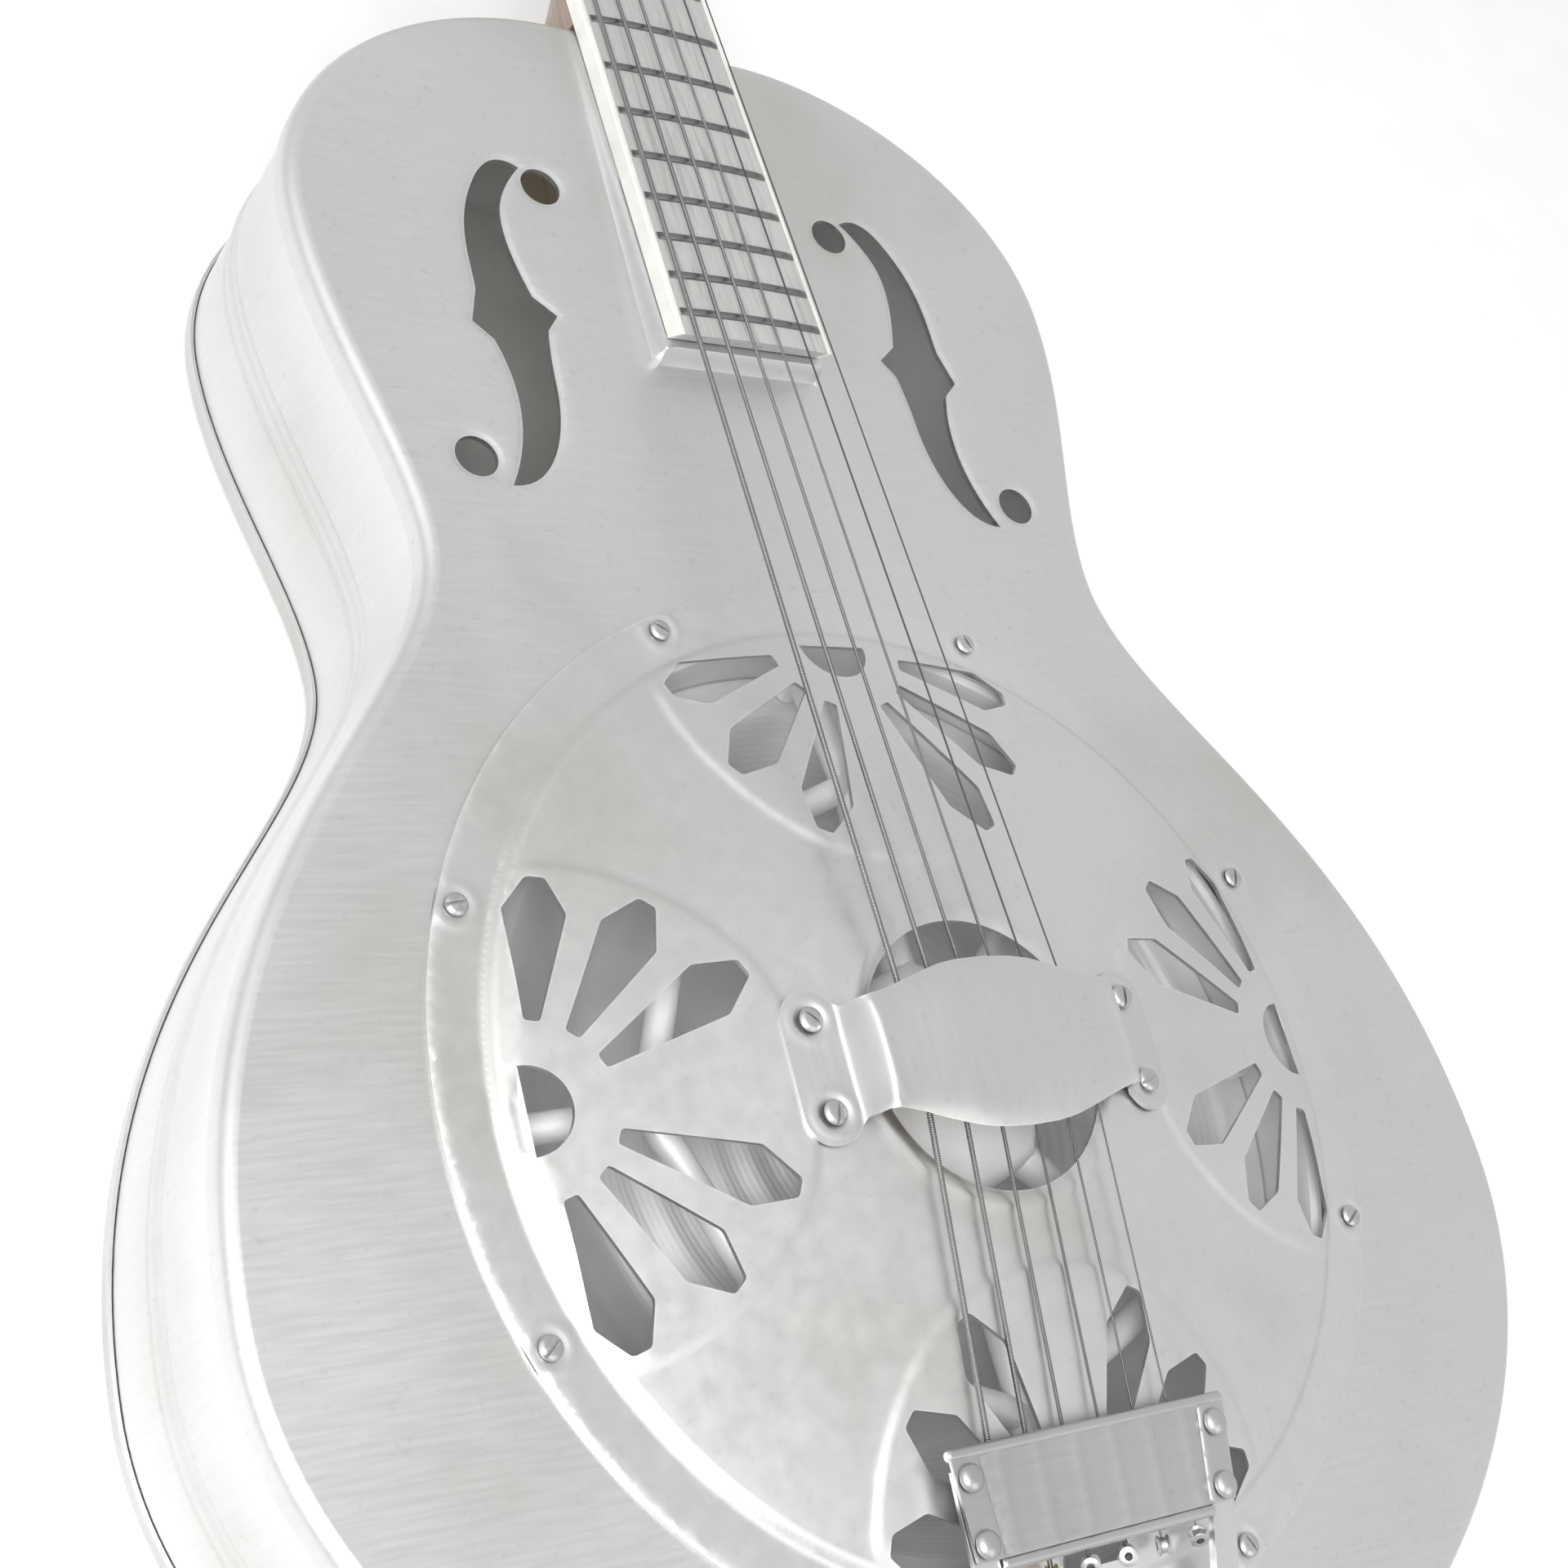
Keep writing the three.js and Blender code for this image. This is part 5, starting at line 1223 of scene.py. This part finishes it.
# ---------------------------------------------------------------- neck
NECK = Matrix.Translation((0, NECK_REACH, BOARD_Z)) @ Matrix.Rotation(-NECK_ANGLE, 4, "X")
HEAD_ROOT = Matrix.Translation((0, NUT_Y + NUT_THICK, -BOARD_THICK - GAP))
HEAD = NECK @ HEAD_ROOT @ Matrix.Rotation(-HEAD_ANGLE, 4, "X")


def fret_place(n):
    return NUT_Y - SCALE_LENGTH * (1 - 2 ** (-n / 12))


def arch(share):
    return -BOARD_CROWN * share**2


def board_ring(y, half, undercut):
    over = [(s * half, y, arch(s)) for s in np.linspace(1, -1, 15)]
    return [(-half, y + undercut, -BOARD_THICK), (half, y + undercut, -BOARD_THICK)] + over


def fretboard():
    ends = [BOARD_END, BOARD_END + 4] + list(np.linspace(BOARD_END + 20, NUT_Y - GAP, 12))
    rim, undercuts = 1.6, [3] + [0] * 13
    core = [board_ring(y, board_half(y) - rim, cut) for y, cut in zip(ends, undercuts)]
    make("fretboard", through(skin(core), NECK), EBONY, "ebony", bevel=0.2)
    strips = []
    for side in (-1, 1):
        rings = []
        for y, cut in zip(ends, undercuts):
            half, top = board_half(y), arch(1)
            section = [(half - rim + 0.02, y + cut, -BOARD_THICK), (half, y + cut, -BOARD_THICK),
                       (half, y, top - 0.4), (half - 0.4, y, top), (half - rim + 0.02, y, top + 0.1)]
            rings.append([(side * x, *rest) for x, *rest in section])
        strips.append(through(skin(rings), NECK))
    make("fretboard_binding", join(strips), BINDING, "bone", "fretboard", bevel=0.1)
    wires = []
    for n in range(1, FRET_COUNT + 1):
        y = fret_place(n)
        half = board_half(y) - 2.2
        rings = []
        for share in np.linspace(-1, 1, 17):
            tall = FRET_HEIGHT * (0.25 if abs(share) == 1 else 1)
            profile = [(-1.2, -0.4), (-1.2, 0.1), (-0.95, 0.45 * tall), (-0.5, 0.88 * tall), (0, tall),
                       (0.5, 0.88 * tall), (0.95, 0.45 * tall), (1.2, 0.1), (1.2, -0.4)]
            seat = arch(share * half / board_half(y))
            rings.append([(share * half, y + dy, seat + dz) for dy, dz in profile])
        wires.append(through(skin(rings), NECK))
    make("frets", join(wires), FRET, "screw_steel", "fretboard", angle=40)


def nut():
    half = NUT_HALF - 0.2
    xs, drops = notches(half, NUT_SPACING)

    def ring(x, top):
        back = NUT_Y + NUT_THICK - GAP
        return [(x, NUT_Y, -BOARD_THICK), (x, back, -BOARD_THICK), (x, back, top - 2.5),
                (x, back - 0.6, top - 2.1), (x, NUT_Y + 1, top), (x, NUT_Y, top)]
    part = notched_bar(xs, 1.6 - 0.35 * drops, ring)
    make("nut", through(part, NECK), BONE, "bone", bevel=0.2)


def neck_shaft():
    top = -BOARD_THICK - GAP
    angles = np.linspace(0, math.pi, 33)

    def ring(y, half, depth, fullness=0.8):
        return [(half * math.cos(a), y, top - depth * max(math.sin(a), 0) ** fullness) for a in angles]
    deep, shallow = 17, 14.5
    ys = [-12, 0, 20, 46] + list(np.linspace(70, NUT_Y - 30, 14))
    rings = [ring(y, board_half(max(y, 0)) - 0.2, deep + (shallow - deep) * smooth((y - 46) / (NUT_Y - 76)))
             for y in ys]
    for t in np.linspace(0.2, 1, 6):
        y = NUT_Y - 30 + t * 47
        rings.append(ring(y, board_half(NUT_Y) - 0.2 + 2 * smooth(t * 1.4 - 0.4), shallow - 6.5 * smooth(t)))
    return skin(rings)


def heel():
    top, foot = -BOARD_THICK - GAP - 3, STICK_LOW * 2 / 3 - BOARD_Z
    rings = []
    for s in np.linspace(0, 1, 16):
        length = np.interp(s, [0, 0.18, 0.45, 0.8, 1], [1, 0.78, 0.56, 0.46, 0.42])
        width = np.interp(s, [0, 0.18, 0.45, 0.8, 1], [1, 0.95, 0.84, 0.72, 0.66])
        half, z = (BOARD_JOINT_HALF - 0.4) * width, top + (foot - top) * s
        curve = [(half * math.cos(a), HEEL_LENGTH * length * max(math.sin(a), 0) ** 0.8, z)
                 for a in np.linspace(0, math.pi, 25)]
        rings.append(curve + [(-half, -12, z), (half, -12, z)])
    return skin(rings)


def head_outline():
    root, h = NUT_HALF - 0.2, HEAD_HALF
    right = [
        [(root, -1), (root, 4)],
        [(root, 4), (root + 2, 18), (h, SLOT_START + 4)],
        [(h, SLOT_START + 4), (h, SLOT_END + 12)],
        [(h, SLOT_END + 12), (h - 2, HEAD_LENGTH - 6), (h - 10, HEAD_LENGTH - 2)],
        [(h - 10, HEAD_LENGTH - 2), (12, HEAD_LENGTH - 8), (0, HEAD_LENGTH)],
    ]
    side = np.concatenate([bezier(c, 12) for c in right] + [np.array([[0, HEAD_LENGTH]])])
    return turned_ccw(np.concatenate([side, (side * [-1, 1])[::-1][1:]]))


def slot_loop(x):
    a = np.linspace(0, math.pi, 13)
    top = np.stack([x + SLOT_HALF * np.cos(a), SLOT_END - SLOT_HALF + SLOT_HALF * np.sin(a)], 1)
    low = np.stack([x - SLOT_HALF * np.cos(a), SLOT_START + SLOT_HALF - SLOT_HALF * np.sin(a)], 1)
    return turned_ccw(np.concatenate([top, low]))


def neck():
    blank = pressed(head_outline(), [slot_loop(SLOT_CENTRE), slot_loop(-SLOT_CENTRE)], 12,
                    lambda p: np.zeros(len(p)), HEAD_THICK, ())
    head = through(blank, HEAD)
    bores = [through(rod(ROLLER_BORE, (s * 4.2, y, -ROLLER_DEPTH), (s * 36, y, -ROLLER_DEPTH)), HEAD)
             for y in ROLLERS for s in (-1, 1)]
    inside_body = block((-100, NECK_REACH - 60, -20), (100, NECK_REACH + GAP, TOP_FACE + 40))
    mortise = block((-STICK_HALF - GAP, NECK_REACH - 1, STICK_LOW - GAP),
                    (STICK_HALF + GAP, NECK_REACH + 12.3, STICK_HIGH + GAP))
    fused("neck", [through(neck_shaft(), NECK), through(heel(), NECK), head], [inside_body, mortise] + bores,
          MAHOGANY, "mahogany", angle=32, bevel=0.5)


def stick_and_blocks():
    tail, reach = (corner[1] for corner in cad("neck_stick"))
    bar = block((-STICK_HALF, tail, STICK_LOW), (STICK_HALF, reach, STICK_HIGH))
    pin = rod(PIN_BORE, (0, tail - 1, STICK_MIDDLE), (0, 15 - TAIL_REACH, STICK_MIDDLE))
    fused("neck_stick", [bar], [pin], MAPLE, "maple", bevel=0.8)
    for i in (1, 2):
        low, high = cad(f"stick_block_{i}")
        make(f"stick_block_{i}", block(low, high), MAPLE, "maple", bevel=1.0)


# ---------------------------------------------------------------- tuners
def tuner_plate(name, side):
    reach = WORM_X + 1.5 + 2.2
    low, high = ROLLERS[0] - 10, ROLLERS[2] + WORM_OFFSET + 6
    bottom, top = 0.8 - HEAD_THICK, -0.8
    outline = eased(np.array([(low, bottom), (high, bottom), (high, top), (low, top)]), 2.5)
    holes = [circle(y, -ROLLER_DEPTH, ROLLER_BORE, 24) for y in ROLLERS]
    v, f = pressed(outline, holes, 3, lambda p: np.zeros(len(p)), PLATE_THICK, (0.6, 1.4))
    strip = (np.stack([side * (PLATE_X + PLATE_THICK + v[:, 2]), v[:, 0], v[:, 1]], 1), f)
    parts = [strip]
    for y in ROLLERS:
        for z in (-1.8, 1.8 - HEAD_THICK):
            root = PLATE_X + 0.3
            loop = eased(np.array([(root, -3.0), (reach, -3.0), (reach, 3.0), (root, 3.0)]), 1.2)
            hole = circle(WORM_X, 0, 1.9, 20)
            w, g = pressed(loop, [hole], 2, lambda p: np.full(len(p), 0.6), 1.2, (0.5,))
            parts.append((w * [side, 1, 1] + [0, y + WORM_OFFSET, z], g))
    parts = [through(p, HEAD) for p in parts]
    fused(f"tuner_plate_{name}", parts, [], GUN, "tuner_steel", bevel=0.15)


def tuner_button(name, side, number, y):
    end = -HEAD_THICK - 4
    worm_low, worm_high = 2.8 - HEAD_THICK, -2.8
    profile = [(0, end - 6), (2.2, end - 6), (2.6, end - 4), (3, end - 1), (2.9, end), (1.5, end + 1.4),
               (1.5, worm_low)]
    for turn in np.arange(worm_low + 0.4, worm_high - 0.4, 1.6):
        profile += [(1.9, turn), (2.6, turn + 0.4), (2.6, turn + 0.8), (1.9, turn + 1.2)]
    profile += [(1.5, worm_high), (1.5, 0.2), (1.2, 0.4), (0, 0.4)]
    shaft = lathe(profile, 24)
    at = HEAD @ Matrix.Translation((side * WORM_X, y + WORM_OFFSET, 0))
    body = f"button_{name}_{number}"
    node = f"tuner_button_{name}_{number}"
    make(f"tuner_shaft_{name}_{number}", through(shaft, at), GUN, "tuner_steel", node, body=body)
    rings = []
    for s in np.linspace(0, 1, 22):
        width = 0.35 + 0.65 * math.sin(math.pi * min(s * 0.8 + 0.08, 1)) ** 0.6
        thick = 3.25 * (0.55 + 0.45 * math.sin(math.pi * min(s * 0.86 + 0.07, 1)) ** 0.7)
        if s > 0.9:
            width *= 1 - 0.35 * ((s - 0.9) / 0.1) ** 2
            thick *= 1 - 0.5 * ((s - 0.9) / 0.1) ** 2
        a = np.arange(32) * 2 * math.pi / 32
        x = 9 * width * np.sign(np.cos(a)) * np.abs(np.cos(a)) ** 0.85
        rings.append(np.stack([x, thick * np.sign(np.sin(a)) * np.abs(np.sin(a)) ** 0.8,
                               np.full(32, end - 2 - 17 * s)], 1))
    make(f"tuner_button_{name}_{number}_cap", through(skin(rings), at), BONE, "bone", node, body=body,
         angle=50)


def tuner_roller(name, side, number, y):
    gear_x = WORM_X - 1.5
    node = f"tuner_roller_{name}_{number}"
    xs = [4.5, 4.8, 12.6, 13.4, 17.6, 18.4, 36.6]
    radii = [2.6, 3, 3, 2.6, 2.6, 3, 3]
    bar = sweep([(x, 0, 0) for x in xs], radii, 32)
    teeth = []
    for i in range(GEAR_TEETH):
        for part, r in ((-0.42, 5.7), (-0.2, 7), (0.2, 7), (0.42, 5.7)):
            a = (i + part) * 2 * math.pi / GEAR_TEETH
            teeth.append((r * math.cos(a), r * math.sin(a)))
    gear = skin([[(x, 0.985 ** k * u, 0.985 ** k * v) for u, v in teeth] for x, k in (
        (gear_x, 3), (gear_x + 0.4, 0), (gear_x + 2.6, 0), (gear_x + 3, 3))])
    cap = moved(lathe([(0, 0), (2.6, 0), (2.6, 1.2), (2.2, 1.6), (0, 1.6)], 28), (0, math.pi / 2, 0),
                (gear_x + 2, 0, 0))
    flip = Matrix.Diagonal((side, 1, 1, 1))
    at = HEAD @ Matrix.Translation((0, y, -ROLLER_DEPTH)) @ flip
    fused(node + "_wheel", [through(part, at) for part in (bar, gear, cap)], [], BRASS, "brass", node,
          body=f"roller_{name}_{number}", angle=30)


def tuners():
    for name, side in (("bass", -1), ("treble", 1)):
        tuner_plate(name, side)
        for i, y in enumerate(ROLLERS, 1):
            tuner_roller(name, side, i, y)
            tuner_button(name, side, i, y)


# ---------------------------------------------------------------- strings
WINDINGS = [(0, -17.4), (1, -15.6), (2, -14.2), (2, 14.2), (1, 15.6), (0, 17.4)]
BALL_TURNS = [(0.2, 0.5), (1.02, 1.5), (0.85, -1.02), (0.65, -1.1), (1.02, 1.45), (1.1, -0.4)]


def winding(index, start):
    radius = STRING_RADII[index]
    roller, x = WINDINGS[index]
    reach = ROLLER_RADIUS + radius + GAP * 0.4
    centre = np.array([ROLLERS[roller], -ROLLER_DEPTH])
    away = centre - np.array([start.y, start.z])
    length = np.linalg.norm(away)
    first = math.atan2(away[1], away[0]) + math.asin(reach / length) + math.pi / 2
    pitch = (2 * radius + GAP * 0.4) * (1 if x > 0 else -1)
    steps, turns, path = 40, 1.4, []
    for i in range(steps + 1):
        a = first - i * 2 * turns * math.pi / steps
        y, z = centre[0] + reach * math.cos(a), centre[1] + reach * math.sin(a)
        path.append(HEAD @ Vector((x + pitch * i * turns / steps, y, z)))
    return path


def strings():
    for i, radius in enumerate(STRING_RADII):
        number = len(STRING_RADII) - i
        rise = radius + GAP * 0.3
        ball = Vector((string_x(i, TAIL_SPACING), BALL_Y, BALL_Z))
        bridge = Vector((string_x(i, SADDLE_SPACING), 0, SADDLE_TOP + rise))
        over = Vector((string_x(i, NUT_SPACING), NUT_Y + 1, 1.6 + rise))
        start = HEAD.inverted() @ NECK @ over
        over = NECK @ over
        path = [ball + (bridge - ball) * t for t in np.linspace(0, 0.985, 12)]
        path += [bridge + Vector((0, d, -abs(d) * 0.02)) for d in (-0.9, 0, 0.9)]
        path += [bridge + (over - bridge) * t for t in np.linspace(0.01, 0.995, 40)]
        path += [over] + winding(i, start)
        material, node = PLAIN, f"string_{number}"
        if i < WOUND_COUNT:
            material = wound(f"wrapped_{node}", (0.32, 0.32, 0.318), 0.00045 * radius / 0.6)
        make(f"{node}_wire", sweep(path, radius, 12), material, "string_steel", node, angle=80)
        profile = [(0.95, -1.5), (1.9, -1.5), (2.2, -1.35), (2.3, -1.15), (2.2, -0.95), (1.75, -0.6),
                   (1.75, 0.6), (2.2, 0.95), (2.3, 1.15), (2.2, 1.35), (1.9, 1.5), (0.95, 1.5)]
        tilt, spin = BALL_TURNS[i]
        ferrule = moved(lathe(profile, 32), (tilt, 0, spin), tuple(ball - Vector((0, 1.4, 0))))
        make(f"ball_end_{number}", ferrule, BRASS if i < 2 else STEEL, "string_steel", node)


# ---------------------------------------------------------------- floor, light and camera
CAMERA_PLACE = (-0.3413, -0.1181, 0.4929)
CAMERA_LENS = 51.09
CAMERA_AXES = [(0.819714, -0.248438, 0.516089), (0.000426, 0.901299, 0.433197),
               (-0.572773, -0.354878, 0.738913)]


def floor():
    s = Shader("floor_paint", (0.9, 0.9, 0.9), 0.8, 0)
    fine = s.noise(25, 3)
    s.set("Base Color", s.ramp(fine, [(0.3, (0.9, 0.9, 0.9)), (0.7, (0.93, 0.93, 0.93))]))
    half = 6.0
    mesh = bpy.data.meshes.new("floor")
    mesh.from_pydata([(-half, -half, -0.0005), (half, -half, -0.0005), (half, half, -0.0005),
                      (-half, half, -0.0005)], [], [(0, 1, 2, 3)])
    mesh.materials.append(s.material)
    plane = bpy.data.objects.new("floor", mesh)
    bpy.context.scene.collection.objects.link(plane)


def lamp(name, place, target, size, power):
    data = bpy.data.lights.new(name, "AREA")
    data.shape, data.size, data.energy = "DISK", size, power
    light = bpy.data.objects.new(name, data)
    light.location = place
    light.rotation_mode = "QUATERNION"
    light.rotation_quaternion = (Vector(target) - Vector(place)).to_track_quat("-Z", "Y")
    bpy.context.scene.collection.objects.link(light)


def lights():
    world = bpy.data.worlds.new("studio")
    bpy.context.scene.world = world
    world.use_nodes = True
    world.node_tree.nodes["Background"].inputs["Color"].default_value = (1, 1, 1, 1)
    world.node_tree.nodes["Background"].inputs["Strength"].default_value = 0.82
    lamp("key", (-1.5, 0.8, 1.9), (0, 0.1, 0.05), 2.4, 10)
    lamp("fill", (0.6, -1.6, 1.6), (0, 0.1, 0.05), 1.6, 6)
    lamp("front", (-0.55, -0.27, 0.8), (-0.03, 0.075, 0.09), 0.6, 7)
    bpy.context.scene.view_settings.view_transform = "Standard"


def camera():
    data = bpy.data.cameras.new("camera")
    data.sensor_width, data.lens = 36, CAMERA_LENS
    data.clip_start, data.clip_end = 0.01, 50
    eye = bpy.data.objects.new("camera", data)
    right, up, back = (Vector(v).normalized() for v in CAMERA_AXES)
    turn = Matrix((right, up, back)).transposed().to_4x4()
    eye.matrix_world = Matrix.Translation(CAMERA_PLACE) @ turn
    bpy.context.scene.collection.objects.link(eye)
    bpy.context.scene.camera = eye


# ---------------------------------------------------------------- the guitar
for build in (camera, lights, floor, body_top, body_back, body_sides, cone_well, resonator_cone,
              spider_bridge, spider_screw, bridge_saddle, cover_plate, screws, palm_rest, tailpiece_plate,
              tailpiece_hanger, rivets, end_pin, fretboard, nut, neck, stick_and_blocks, tuners, strings):
    build()
